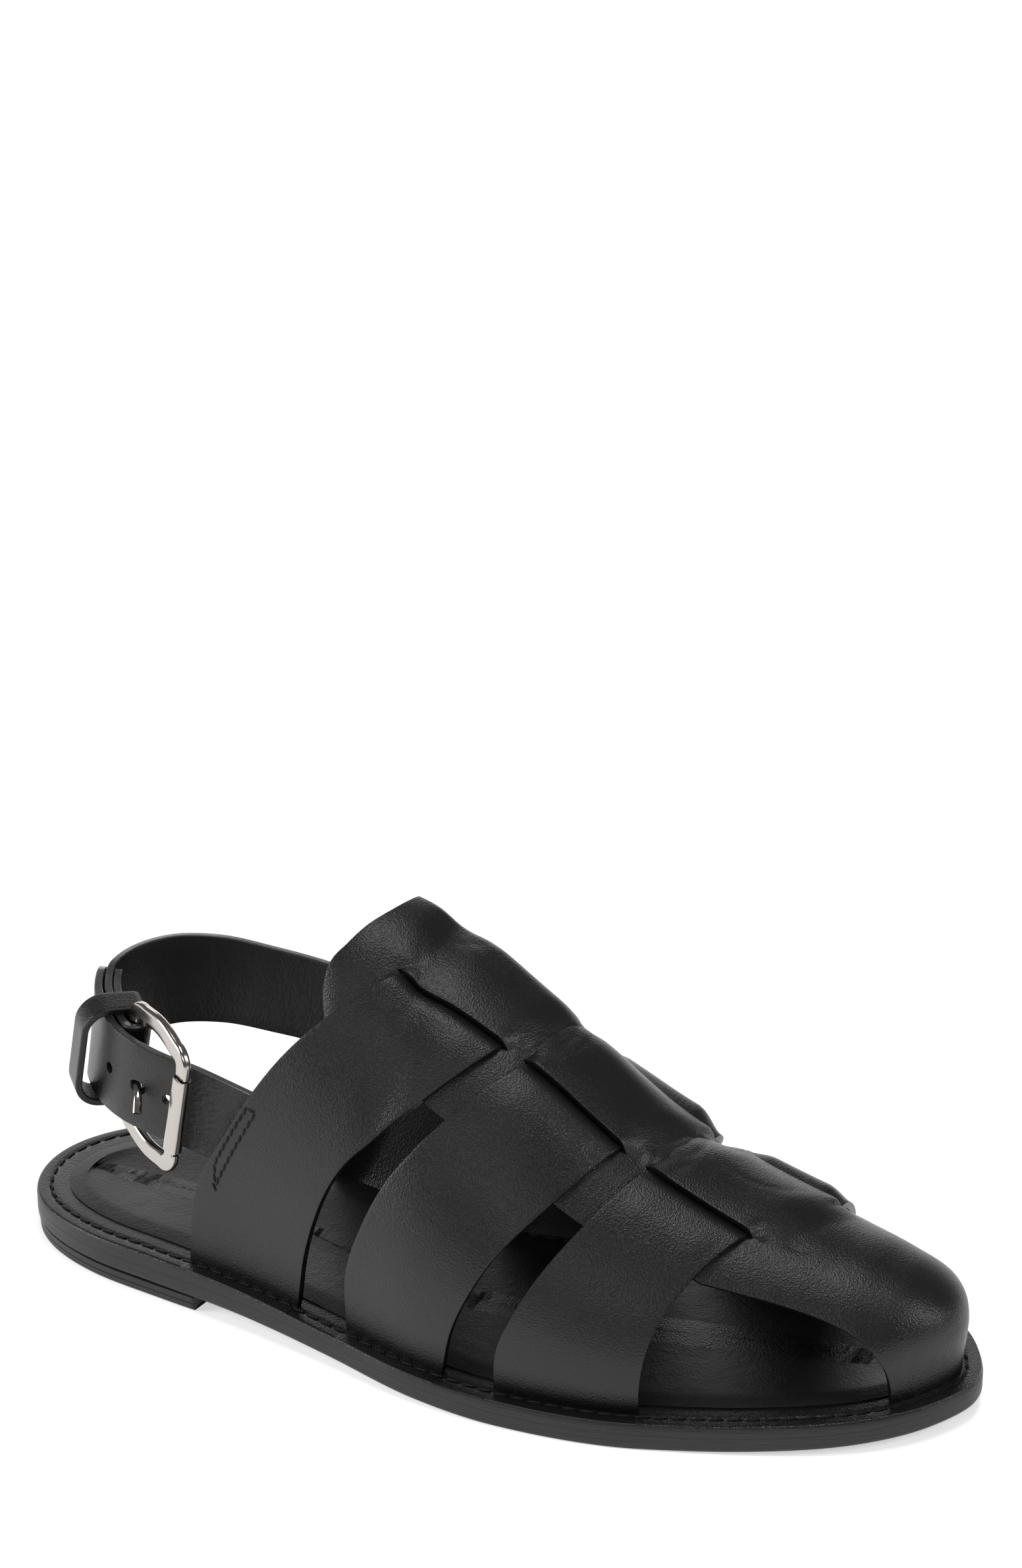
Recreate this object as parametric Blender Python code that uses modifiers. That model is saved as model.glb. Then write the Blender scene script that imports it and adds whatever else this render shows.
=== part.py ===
"""Fisherman sandal for the right foot: a leather sole, a woven closed-toe upper, a heel strap and a side buckle.

The shoe frame has x from the heel to the toe, y to the medial side and z up. Tables and sizes are in
millimetres; mesh_object turns them into metres and moves the origin to the middle of the footprint.
"""

import math

import bmesh
import bpy
import numpy as np
from mathutils import Matrix, Vector

MM = 0.001
GAP = 0.3  # clearance between pieces that touch

# Driving dimensions
LENGTH = 290.0
LEATHER = 2.3  # one layer of the upper
FLANGE = 1.5  # upper leather where it is turned out and stitched down
FEATHER_INSET = 7.6  # from the sole's edge to the inner face of the upper
FLANGE_EDGE = 0.3
OUTSOLE = 4.4
EDGE_CHAMFER = 0.8
HEEL_BREAST_X = 72.0
HEEL_INSET = 0.6
FOOTBED_INSET = 9.8
SLIT_Y = (-15.0, 20.0)  # the straps dive under the vamp along these two lines
STEP = 0.35  # half the width of the riser where one layer ends on another
STRAP_WIDTH = 27.0
HEEL_STRAP_WIDTH = 28.4
STRAP = 2.4  # thickness of the sling and buckle straps
SHARP_ANGLE = 35.0  # degrees between faces above which an edge is shown sharp
SLAB_STATIONS = 42
HEEL_STATIONS = 18
TOP_CHAMFER = 0.3  # small chamfer of the edges that meet another piece
RIM_CHAMFER = 0.5
RIM_INSET = 0.2
END_TRIM = (0.6, 0.9, 1.4)  # outsole, midsole and heel start this far from the sole's tip

# Sole outline: x, lateral y, medial y
OUTLINE = (
    (0, 0.0, 0.0),
    (4, -15.6, 15.4),
    (14, -26.7, 27.0),
    (35, -36.0, 34.2),
    (60, -39.9, 35.0),
    (90, -43.5, 32.0),
    (120, -49.3, 29.4),
    (150, -55.8, 31.6),
    (180, -56.5, 40.0),
    (205, -53.0, 48.0),
    (225, -46.6, 49.8),
    (245, -38.7, 47.3),
    (263, -29.5, 41.0),
    (278, -17.5, 30.0),
    (287, -4.5, 17.0),
    (290, 6.0, 6.0),
)
# Heights along the sole: x, z
RIM_TOP = (
    (0, 12.5), (30, 13.2), (60, 13.4), (80, 12.6), (100, 11.1),
    (150, 8.4), (190, 7.8), (225, 8.1), (260, 9.6), (290, 11.2),
)
SOLE_BOTTOM = (
    (0, 4.6), (75, 4.6), (100, 3.7), (150, 1.0), (172, 0),
    (190, 0), (212, 0), (235, 0.6), (260, 1.9), (290, 4.2),
)
# The last: x, ridge y, ridge z, fullness of the medial half, bulge of the medial half
LAST = (
    (60, 4, 150, 2.2, 3),
    (80, 7, 138, 2.2, 5),
    (100, 10, 129, 2.3, 8),
    (118, 11.3, 116.2, 2.3, 9),
    (130, 12, 107.6, 2.3, 9),
    (140, 11, 102.5, 2.25, 8),
    (154, 9.6, 94, 2.2, 7),
    (169, 8, 84.5, 2.1, 5),
    (180, 7, 76, 2.05, 4),
    (193, 5.8, 66.5, 2.0, 3),
    (218, 4.2, 54.5, 1.9, 2),
    (228, 4, 51, 1.9, 2),
    (250, 4, 44.5, 1.95, 1),
    (262, 4.6, 40.5, 1.95, 0),
    (272, 5.2, 34, 1.95, 0),
    (278, 5.6, 26.5, 1.95, 0),
    (281, 5.8, 19.5, 1.95, 0),
    (282.4, 6, 12, 1.95, 0),
)
LATERAL_FULLNESS = 2.2
LATERAL_BULGE = 1.5
# Lines across the upper: x at each angle round the last, from the lateral base over the ridge to the medial base
ANGLES = (-90, -70, -43, -20, 0, 27, 48, 70, 90)
TONGUE_END = (95, 101.5, 108.5, 111.5, 118.4, 118, 110, 103, 95)
STRAP_LINES = (
    ((69.5, 83.5, 111, 128.5, 134, 135, 123, 102, 80), (107, 118.5, 142.5, 158, 164, 166, 156, 140, 122)),
    ((124.4, 131, 149.5, 163, 171, 175, 167, 152, 138), (156.5, 166, 181.5, 190.5, 198, 204, 200, 189, 178)),
    ((172.5, 178.5, 190.5, 198, 205, 212, 210, 202, 194), (212, 213, 220.5, 229.5, 238, 246, 246, 241, 236)),
)
WING_ANGLES = (-43.0, 48.0)
TOE_CORNERS_X = (271.5, 267.0)  # where the toe piece's side edges meet the sole
# Sling strap round the heel, middle of its thickness: x, y, z
SLING_PATH = (
    (124, 25.2, 60.5),
    (114, 26.0, 61.8),
    (104, 27.3, 63.3),
    (94, 29.2, 64.6),
    (80, 30.9, 66),
    (60, 30.5, 67.2),
    (44, 27.5, 68.6),
    (33, 20, 69.6),
    (27, 9, 69.8),
    (26.3, -3, 69.4),
    (30, -14, 68),
    (35.8, -21, 67),
    (42.6, -26.8, 66),
)
# Buckle strap in front of the back bar: x, y, z
BUCKLE_STRAP_PATH = (
    (48, -32.3, 65.2), (57, -33.9, 63.8), (70, -33.6, 61.5), (82, -33.2, 58.5), (92, -32.4, 55.5),
)
BUCKLE_STRAP_TIP_Y = 3.0
FOLD_BACK_END_Y = -5.7
# Keeper loop, measured at the middle of its wall
KEEPER_Y = -21.0
KEEPER_SIZE = (17.4, 31.6)
KEEPER_CORNERS = (7.2, 2.5)
KEEPER_WALL = 2.0
KEEPER_STRIP = 8.6
KEEPER_OUT = 0.7
KEEPER_DROP = 0.6
# Buckle frame
FRAME_CENTRE = (56.5, -31.6, 64.0)
FRAME_HEADING = -31.0  # degrees about z, from the back bar to the front bar
FRAME_TILT = 11.0  # back bar raised
FRAME_LEAN = -4.0  # top bar moved in towards the foot
LEAN_Y = (-3.0, -18.0)  # the heel straps turn from upright to the buckle's lean between these
FRAME_LENGTH = 27.6  # between the middles of the two upright bars
FRAME_HEIGHT = 37.6  # between the middles of the top and bottom bars
FRAME_CORNER = 3.6
BAR_WIDTH = 4.8
NECK_WIDTH = 3.6  # front bar inside the sleeve, and back bar inside the sling's fold
NECK_SHOULDER = 0.8
BAR_THICKNESS = 2.6
SLEEVE_LENGTH = 24.5
SLEEVE_WALL = 0.6
SLEEVE_CORNERS = (0.9, 1.3)  # inside, outside
PRONG_RADIUS = 1.1
PRONG_LENGTH = 18.0
PRONG_LOOP = 3.4  # from the middle of the back bar to the middle of the pin round it
PRONG_SWING = 26.0  # degrees the prong stands out from the frame
HOLE_RADIUS = 1.7
PRONG_HOLE_RADIUS = 2.1
HOLE_SPACING = 11.0


def smooth(table_x, table_y, x):
    """Cubic through a table, with slopes worked out from the neighbouring intervals."""
    table_x = np.asarray(table_x, float)
    table_y = np.asarray(table_y, float)
    x = np.clip(x, table_x[0], table_x[-1])
    step = np.diff(table_x)
    rise = np.diff(table_y) / step
    inner = (rise[:-1] * step[1:] + rise[1:] * step[:-1]) / (step[1:] + step[:-1])
    slope = np.concatenate([rise[:1], inner, rise[-1:]])
    i = np.clip(np.searchsorted(table_x, x, side="right") - 1, 0, len(step) - 1)
    t = (x - table_x[i]) / step[i]
    return (
        (1 + 2 * t) * (1 - t) ** 2 * table_y[i]
        + t * (1 - t) ** 2 * step[i] * slope[i]
        + t * t * (3 - 2 * t) * table_y[i + 1]
        + t * t * (t - 1) * step[i] * slope[i + 1]
    )


def column(table, index):
    return [row[index] for row in table]


def rim_z(x):
    return float(smooth(column(RIM_TOP, 0), column(RIM_TOP, 1), x))


def bottom_z(x):
    return max(0.0, float(smooth(column(SOLE_BOTTOM, 0), column(SOLE_BOTTOM, 1), x)))


def turn(x):
    """Position along the sole as a share of a half turn, which spaces the round ends evenly."""
    return np.arccos(np.clip(1 - 2 * np.asarray(x, float) / LENGTH, -1, 1)) / math.pi


def outline(inset, count=361):
    """Lateral and medial edge, heel to toe, moved in by inset along the edge's own normal."""
    share = np.linspace(0, 1, count)
    x = LENGTH * (1 - np.cos(math.pi * share)) / 2
    sides = []
    for index, turned in ((1, 1), (2, -1)):
        y = smooth(turn(column(OUTLINE, 0)), column(OUTLINE, index), share)
        dx, dy = np.gradient(x), np.gradient(y)
        length = np.hypot(dx, dy)
        sides.append((x - turned * inset * dy / length, y + turned * inset * dx / length))
    return sides


FEATHER = outline(FEATHER_INSET)


def edge_point(side, share, inset):
    """Point of the sole's edge on side 0 (lateral) or 1 (medial) at a share of the way, moved in."""
    x, y = outline(inset)[side]
    at = np.linspace(0, 1, len(x))
    return float(np.interp(share, at, x)), float(np.interp(share, at, y))


def feather_share(side, x):
    """Share of the way along the edge at which the feather line has this x."""
    line = FEATHER[side][0]
    return float(np.interp(x, line, np.linspace(0, 1, len(line))))


def feather_y(side, x):
    return float(np.interp(x, *FEATHER[side]))


def last_row(x):
    return [float(smooth(column(LAST, 0), column(LAST, i), x)) for i in range(1, 5)]


def last_point(x, angle, lift=0.0):
    """Point of the last at x and an angle round it in degrees, lifted off its surface."""
    ridge_y, ridge_z, fullness, bulge = last_row(x)
    side = 0 if angle < 0 else 1
    if side == 0:
        fullness, bulge = LATERAL_FULLNESS, LATERAL_BULGE
    outward = -1 if side == 0 else 1
    across = abs(math.sin(math.radians(angle))) ** (2 / fullness)
    up = max(0.0, math.cos(math.radians(angle))) ** (2 / fullness)
    base_z = rim_z(x) - FLANGE
    reach = feather_y(side, x) + outward * lift - ridge_y
    y = ridge_y + reach * across + outward * bulge * across * math.sin(math.pi * up)
    return Vector((x, y, base_z + (ridge_z - base_z + lift) * up))


def last_height(x, y):
    """Height of the last above a point in plan, down to the feather line."""
    ridge_y, ridge_z, fullness, _ = last_row(x)
    side = 0 if y < ridge_y else 1
    if side == 0:
        fullness = LATERAL_FULLNESS
    base_z = rim_z(x) - FLANGE
    share = min(1.0, abs(y - ridge_y) / max(0.1, abs(feather_y(side, x) - ridge_y)))
    return base_z + (ridge_z - base_z) * (1 - share**fullness) ** (1 / fullness)


def angle_at(x, y):
    """Angle round the last at which its section at x reaches y."""
    angles = np.linspace(-88, 88, 177)
    return float(np.interp(y, [last_point(x, a).y for a in angles], angles))


def line_x(line, angle):
    return float(smooth(ANGLES, line, angle))


def colour_material(name, colour, roughness, metallic=0.0):
    material = bpy.data.materials.new(name)
    material.use_nodes = True
    shader = material.node_tree.nodes["Principled BSDF"]
    shader.inputs["Base Color"].default_value = (*colour, 1.0)
    shader.inputs["Roughness"].default_value = roughness
    shader.inputs["Metallic"].default_value = metallic
    material.diffuse_color = (*colour, 1.0)
    return material


def new_collection(name):
    collection = bpy.data.collections.new(name)
    bpy.context.scene.collection.children.link(collection)
    return collection


def footprint_middle():
    """Middle of the sole's bounding rectangle in the shoe frame."""
    lateral, medial = outline(0.0)
    return Vector((LENGTH / 2, (lateral[1].min() + medial[1].max()) / 2, 0.0))


def mesh_object(name, bm, material, collection):
    """Object in metres round the part's origin, from a mesh in millimetres in the shoe frame."""
    bmesh.ops.translate(bm, verts=bm.verts, vec=-footprint_middle())
    bmesh.ops.scale(bm, verts=bm.verts, vec=(MM, MM, MM))
    mesh = bpy.data.meshes.new(name)
    bm.to_mesh(mesh)
    bm.free()
    mesh.shade_smooth()
    mesh.set_sharp_from_angle(angle=math.radians(SHARP_ANGLE))
    if material:
        mesh.materials.append(material)
    thing = bpy.data.objects.new(name, mesh)
    collection.objects.link(thing)
    return thing


def loft(rings, closed=False):
    """Mesh through rings of equal point count, capped at both ends unless it closes on itself."""
    bm = bmesh.new()
    loops = [[bm.verts.new(p) for p in ring] for ring in rings]
    pairs = list(zip(loops, loops[1:]))
    if closed:
        pairs.append((loops[-1], loops[0]))
    for a, b in pairs:
        for i in range(len(a)):
            j = (i + 1) % len(a)
            bm.faces.new((a[i], a[j], b[j], b[i]))
    if not closed:
        bm.faces.new(loops[0])
        bm.faces.new(loops[-1])
    bmesh.ops.recalc_face_normals(bm, faces=bm.faces)
    if bm.calc_volume(signed=True) < 0:
        bmesh.ops.reverse_faces(bm, faces=bm.faces)
    return bm


def cut(target, cutter):
    cutter.hide_render = True
    cutter.display_type = "WIRE"
    modifier = target.modifiers.new("Cut " + cutter.name, "BOOLEAN")
    modifier.object = cutter
    modifier.operation = "DIFFERENCE"
    modifier.solver = "EXACT"


def sole_stations(first, last, count):
    shares = np.linspace(turn(first), turn(last), count)
    return [float(x) for x in LENGTH * (1 - np.cos(math.pi * shares)) / 2]


def slab(stations, inset, low, high, chamfer_low, chamfer_high):
    """Rings across the sole at each station, between two height functions, with chamfered edges."""
    lateral, medial = outline(inset)
    rings = []
    for x in stations:
        left, right = float(np.interp(x, *lateral)), float(np.interp(x, *medial))
        z0, z1 = low(x), high(x)
        c0 = min(chamfer_low, (right - left) / 4)
        c1 = min(chamfer_high, (right - left) / 4)
        rings.append([
            (x, left + c0, z0), (x, left, z0 + chamfer_low), (x, left, z1 - chamfer_high), (x, left + c1, z1),
            (x, right - c1, z1), (x, right, z1 - chamfer_high), (x, right, z0 + chamfer_low), (x, right - c0, z0),
        ])
    return rings


def make_outsole(collection, material):
    stations = sole_stations(END_TRIM[0], LENGTH - END_TRIM[0], SLAB_STATIONS)
    rings = slab(stations, 0.0, bottom_z, lambda x: bottom_z(x) + OUTSOLE, EDGE_CHAMFER, TOP_CHAMFER)
    return mesh_object("outsole", loft(rings), material, collection)


def make_heel(collection, material):
    stations = sole_stations(END_TRIM[2], HEEL_BREAST_X, HEEL_STATIONS)
    top = bottom_z(0) - GAP
    rings = slab(stations, HEEL_INSET, lambda x: 0.0, lambda x: top, EDGE_CHAMFER, TOP_CHAMFER)
    return mesh_object("heel_block", loft(rings), material, collection)


def make_midsole(collection, material):
    stations = sole_stations(END_TRIM[1], LENGTH - END_TRIM[1], SLAB_STATIONS)
    rings = slab(stations, RIM_INSET, lambda x: bottom_z(x) + OUTSOLE + GAP, rim_z, TOP_CHAMFER, RIM_CHAMFER)
    return mesh_object("midsole", loft(rings), material, collection)


# Padded sock: share of the way across, height above its underside
FOOTBED_SWELL = (
    (0.0, 0.9), (0.05, 1.4), (0.13, 1.7), (0.3, 1.4), (0.5, 1.1), (0.7, 1.4), (0.87, 1.7), (0.95, 1.4), (1.0, 0.9),
)
FOOTBED_EDGE = 0.9
FOOTBED_STATIONS = 34
FOOTBED_END = 0.8  # the sock's first and last stations stand this far inside its tips
FOOTBED_RISE = 14.0  # length over which it swells from its tips


def make_footbed(collection, material):
    """Padded sock: a thin edge that swells just inside it, and a shallow dish along the middle."""
    lateral, medial = outline(FOOTBED_INSET)
    ends = lateral[0][0] + FOOTBED_END, lateral[0][-1] - FOOTBED_END
    rings = []
    for x in sole_stations(*ends, FOOTBED_STATIONS):
        left, right = float(np.interp(x, *lateral)), float(np.interp(x, *medial))
        near_end = min(1.0, (x - ends[0]) / FOOTBED_RISE, (ends[1] - x) / FOOTBED_RISE)
        rise = math.sqrt(max(0.0, near_end))
        base = rim_z(x) + GAP
        ring = [(x, left, base)]
        for share, height in FOOTBED_SWELL:
            ring.append((x, left + share * (right - left), base + FOOTBED_EDGE + (height - FOOTBED_EDGE) * rise))
        ring.append((x, right, base))
        rings.append(ring)
    return mesh_object("footbed", loft(rings), material, collection)


def upper_rows():
    """Rows across the vamp, rear to front: zone, line or pair of lines with the share between them, offset."""
    rows = [("tongue", TONGUE_END, TONGUE_END, 0, 0.0)]
    before = TONGUE_END
    for number, (rear, front) in enumerate(STRAP_LINES):
        for share in (0.35, 0.7) if number == 0 else (0.5,):
            rows.append(("tongue" if number == 0 else "dip", before, rear, share, 0.0))
        rows.append(("before", before, rear, 1, -STEP))
        rows.append(("strap", rear, front, 0, STEP))
        rows += [("strap", rear, front, share, 0.0) for share in (0.25, 0.5, 0.75)]
        rows.append(("strap", rear, front, 1, -STEP))
        rows.append(("after", rear, front, 1, STEP))
        before = front
    return rows


def row_x(row, angle):
    _, a, b, share, offset = row
    return (1 - share) * line_x(a, angle) + share * line_x(b, angle) + offset


def vamp_angles(row):
    """Angles of the vamp's columns in one row, with a close pair on each slit."""
    middle = row_x(row, 0.0)
    slits = []
    for y in SLIT_Y:
        x = row_x(row, angle_at(middle, y))
        slits += [angle_at(x, y - STEP), angle_at(x, y + STEP)]
    low, high = WING_ANGLES
    return [low, (low * 2 + slits[0]) / 3, *slits[:2], -7.0, 7.0, *slits[2:], (high * 2 + slits[3]) / 3, high]


# Height of the outer face over the last for the vamp's ten columns, by zone
LEVELS = {
    "tongue": (2.3, 2.3, 2.3, 2.3, 2.3, 2.3, 2.3, 2.3, 2.3, 2.3),
    "before": (2.3, 2.3, 2.6, 3.6, 4.0, 4.0, 3.6, 2.6, 2.3, 2.3),
    "strap": (4.6, 4.3, 2.7, 4.6, 4.6, 4.6, 4.6, 2.7, 4.3, 4.6),
    "after": (2.3, 2.3, 2.6, 3.8, 4.2, 4.2, 3.8, 2.6, 2.3, 2.3),
    "dip": (2.3, 2.3, 2.4, 2.6, 2.9, 2.9, 2.6, 2.4, 2.3, 2.3),
}
# Columns of a strap's side, wing edge to base: angle share, lift of the inner face
SIDE_COLUMNS = ((0.015, 2.3), (0.2, 2.3), (0.42, 2.3), (0.64, 2.0), (0.84, 1.2), (1.0, 0.0))
FLANGE_INSETS = (5.0, 2.6, FLANGE_EDGE)


def toe_row(start, share):
    """Points of the toe piece between its start row and the feather line round the toe."""
    ends = [feather_share(side, TOE_CORNERS_X[side]) for side in (0, 1)]
    points = []
    for i, origin in enumerate(start):
        round_toe = ends[0] + (2 - ends[1] - ends[0]) * i / (len(start) - 1)
        side, at = (0, round_toe) if round_toe < 1 else (1, 2 - round_toe)
        x, y = edge_point(side, at, FEATHER_INSET)
        px, py = origin.x + (x - origin.x) * share, origin.y + (y - origin.y) * share
        z = rim_z(px) - FLANGE if share == 1 else last_height(px, py)
        points.append((Vector((px, py, z)), side, at))
    return points


def make_upper(collection, material):
    """Inner face of the woven wall, thickened outward by one or two layers of leather."""
    bm = bmesh.new()
    layers = bm.verts.layers.deform.verify()
    full = 2 * LEATHER

    def vertex(point, thickness):
        v = bm.verts.new(point)
        v[layers][0] = thickness / full
        return v

    def skin(a, b):
        for i in range(len(a) - 1):
            bm.faces.new((a[i], a[i + 1], b[i + 1], b[i]))

    rows = upper_rows()
    vamp = []
    for row in rows:
        angles = vamp_angles(row)
        vamp.append([
            vertex(last_point(row_x(row, a), a), level) for a, level in zip(angles, LEVELS[row[0]])
        ])
    for a, b in zip(vamp, vamp[1:]):
        skin(a, b)

    start = [v.co.copy() for v in vamp[-1]]
    shares = [math.sin(math.pi / 2 * t) for t in (0.1, 0.24, 0.38, 0.52, 0.66, 0.79, 0.9, 1.0)]
    previous = vamp[-1]
    for share in shares:
        points = toe_row(start, share)
        current = [vertex(p, LEATHER) for p, _, _ in points]
        skin(previous, current)
        previous = current
    for inset in FLANGE_INSETS:
        current = []
        for _, side, at in points:
            x, y = edge_point(side, at, inset)
            current.append(vertex((x, y, rim_z(x) - FLANGE), FLANGE))
        skin(previous, current)
        previous = current

    for side in (0, 1):
        wing, base = WING_ANGLES[side], (-90.0, 90.0)[side]
        edge = 0 if side == 0 else -1
        strips = []
        for row, verts in zip(rows, vamp):
            if row[0] != "strap":
                strips.append(None)
                continue
            strip = [verts[edge]]
            for share, lift in SIDE_COLUMNS:
                angle = wing + (base - wing) * share
                strip.append(vertex(last_point(row_x(row, angle), angle, lift), LEATHER))
            at = feather_share(side, row_x(row, base))
            for inset in FLANGE_INSETS:
                x, y = edge_point(side, at, inset)
                strip.append(vertex((x, y, rim_z(x) - FLANGE), FLANGE))
            strips.append(strip)
        for a, b in zip(strips, strips[1:]):
            if a and b:
                skin(*((a, b) if side == 1 else (b, a)))

    bmesh.ops.recalc_face_normals(bm, faces=bm.faces)
    if max(bm.faces, key=lambda face: face.calc_center_median().z).normal.z < 0:
        bmesh.ops.reverse_faces(bm, faces=bm.faces)
    thing = mesh_object("upper", bm, material, collection)
    thing.vertex_groups.new(name="layers")
    wall = thing.modifiers.new("Leather", "SOLIDIFY")
    wall.thickness = full * MM
    wall.offset = 1
    wall.vertex_group = "layers"
    wall.use_quality_normals = True
    return thing


STRAP_SEAT_STEPS = 7
TOE_SEAT_STEPS = 22
SEAT_BEYOND = 2.0  # how far the seats' cutters reach past the rim


def cut_flange_seats(midsole, cutters):
    """Recesses in the rim board, one under each flange, so that the flanges lie flush with the rim."""
    spans = []
    for rear, front in STRAP_LINES:
        for side, index in ((0, 0), (1, -1)):
            along = np.linspace(rear[index] - GAP, front[index] + GAP, STRAP_SEAT_STEPS)
            spans.append([(side, feather_share(side, x)) for x in along])
    ends = [feather_share(side, TOE_CORNERS_X[side] - GAP) for side in (0, 1)]
    toe = np.linspace(ends[0], 2 - ends[1], TOE_SEAT_STEPS)
    spans.append([(0, t) if t < 1 else (1, 2 - t) for t in toe])
    for number, span in enumerate(spans):
        rings = []
        for side, at in span:
            inner, outer = edge_point(side, at, FEATHER_INSET + GAP), edge_point(side, at, -SEAT_BEYOND)
            low, high = rim_z(inner[0]) - FLANGE - GAP, rim_z(inner[0]) + SEAT_BEYOND
            rings.append([(*inner, low), (*outer, low), (*outer, high), (*inner, high)])
        cut(midsole, mesh_object(f"flange_seat_{number}", loft(rings), None, cutters))


def resample(path, count):
    """Evenly spaced points on a smooth curve through the path's points."""
    points = np.array(path, float)
    along = np.concatenate([[0], np.cumsum(np.linalg.norm(np.diff(points, axis=0), axis=1))])
    at = np.linspace(0, along[-1], count)
    return np.stack([smooth(along, points[:, i], at) for i in range(3)], 1)


def outward_normals(points):
    """Level normals of a path, pointing to the right of its direction."""
    tangents = np.gradient(points, axis=0)
    normals = np.stack([tangents[:, 1], -tangents[:, 0], np.zeros(len(points))], 1)
    return normals / np.linalg.norm(normals, axis=1)[:, None]


def strap_up(point):
    """Direction across a heel strap: upright round the heel, along the back bar beside the buckle."""
    share = float(np.interp(-point[1], (-LEAN_Y[0], -LEAN_Y[1]), (0, 1)))
    bar = frame_matrix().to_3x3() @ Vector((0, 1, 0))
    return Vector((0, 0, 1)).lerp(bar, share).normalized()


def band_rings(points, normals, widths, thickness):
    """Rectangular sections with small chamfers for a strap that stands on edge along a path."""
    chamfer = thickness / 4
    rings = []
    for p, level, width in zip(points, normals, widths):
        upward = strap_up(p)
        n = Vector(level)
        n = (n - upward * n.dot(upward)).normalized()
        ring = []
        for a, b in ((-1, -1), (1, -1), (1, 1), (-1, 1)):
            corners = [
                (a * (thickness / 2 - chamfer), b * width / 2),
                (a * thickness / 2, b * (width / 2 - chamfer)),
            ]
            for across, up in corners if a * b < 0 else corners[::-1]:
                ring.append(Vector(p) + n * across + upward * up)
        rings.append(ring)
    return rings


SLING_STEPS = 46
BEND_STEP = 30  # degrees between sections where the sling wraps the back bar
WIDER_BEHIND_X = (35.0, 75.0)  # the sling widens from the strap's width to the heel's width over these
PRONG_SLOT = (16.0, 4.2, 12.0)
PRONG_SLOT_AHEAD = 2.0


def sling_layers():
    """The sling's middle line to the back bar and its outward normals."""
    run = resample(SLING_PATH, SLING_STEPS)
    return run, outward_normals(run)


def frame_matrix():
    """Places the buckle: its x from the back bar to the front bar, its y up, its z outward."""
    heading = Matrix.Rotation(math.radians(FRAME_HEADING), 4, "Z")
    tilt = Matrix.Rotation(math.radians(FRAME_TILT), 4, "Y")
    upright = Matrix.Rotation(math.radians(90 + FRAME_LEAN), 4, "X")
    return Matrix.Translation(FRAME_CENTRE) @ heading @ tilt @ upright


def prong_direction():
    swing = math.radians(PRONG_SWING)
    return frame_matrix().to_3x3() @ Vector((math.cos(swing), 0, math.sin(swing)))


def make_sling(collection, cutters, material):
    """Strap from inside the first cross strap round the heel, folded round the back bar on to its inner side."""
    run, normals = sling_layers()
    bar = frame_matrix() @ Vector((-FRAME_LENGTH / 2, 0, 0))
    reach = BAR_THICKNESS / 2 + 2 * GAP + STRAP / 2
    end_normal = Vector(normals[-1])
    forward = Vector((-end_normal.y, end_normal.x, 0))
    bend = []
    for degrees in range(0, 181, BEND_STEP):
        turned = math.radians(degrees)
        wider = reach + GAP * (1 - math.cos(turned)) / 2
        bend.append(bar + end_normal * wider * math.cos(turned) + forward * (reach + GAP) * math.sin(turned))
    back = [Vector(p) - Vector(n) * (STRAP + GAP) for p, n in zip(run, normals) if p[1] < FOLD_BACK_END_Y]
    outer = [Vector(p) for p in run[:-2]]
    inner = back[-3::-1]
    points = np.array([*outer, *bend, *inner])
    tangents = np.gradient(points, axis=0)
    across = np.stack([tangents[:, 1], -tangents[:, 0], np.zeros(len(points))], 1)
    across /= np.linalg.norm(across, axis=1)[:, None]
    heel = np.interp(points[:, 0], WIDER_BEHIND_X, (HEEL_STRAP_WIDTH, STRAP_WIDTH))
    widths = np.where(points[:, 1] > FOLD_BACK_END_Y, heel, STRAP_WIDTH)
    sling = mesh_object("sling_strap", loft(band_rings(points, across, widths, STRAP)), material, collection)
    slot = bmesh.new()
    bmesh.ops.create_cube(slot, size=1.0)
    bmesh.ops.scale(slot, verts=slot.verts, vec=PRONG_SLOT)
    slot_place = frame_matrix() @ Matrix.Translation((PRONG_SLOT_AHEAD - FRAME_LENGTH / 2, 0, 0))
    bmesh.ops.transform(slot, matrix=slot_place, verts=slot.verts)
    cut(sling, mesh_object("prong_slot", slot, None, cutters))
    return sling


BUCKLE_STRAP_STEPS = 44
TIP_SHARE = 0.7  # length of the rounded tip as a share of half the strap's width
TIP_BLUNT = 0.12  # squared width of the very end as a share of the full width
HOLE_SIDES = 12


def buckle_strap_line():
    """Middle line of the buckle strap, from its free end behind the heel to its seam inside the front strap."""
    run, normals = sling_layers()
    tip = [p + n * (STRAP + 2 * GAP) for p, n in zip(run, normals) if p[1] < BUCKLE_STRAP_TIP_Y]
    return resample([*tip[:-2], *BUCKLE_STRAP_PATH], BUCKLE_STRAP_STEPS)


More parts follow.
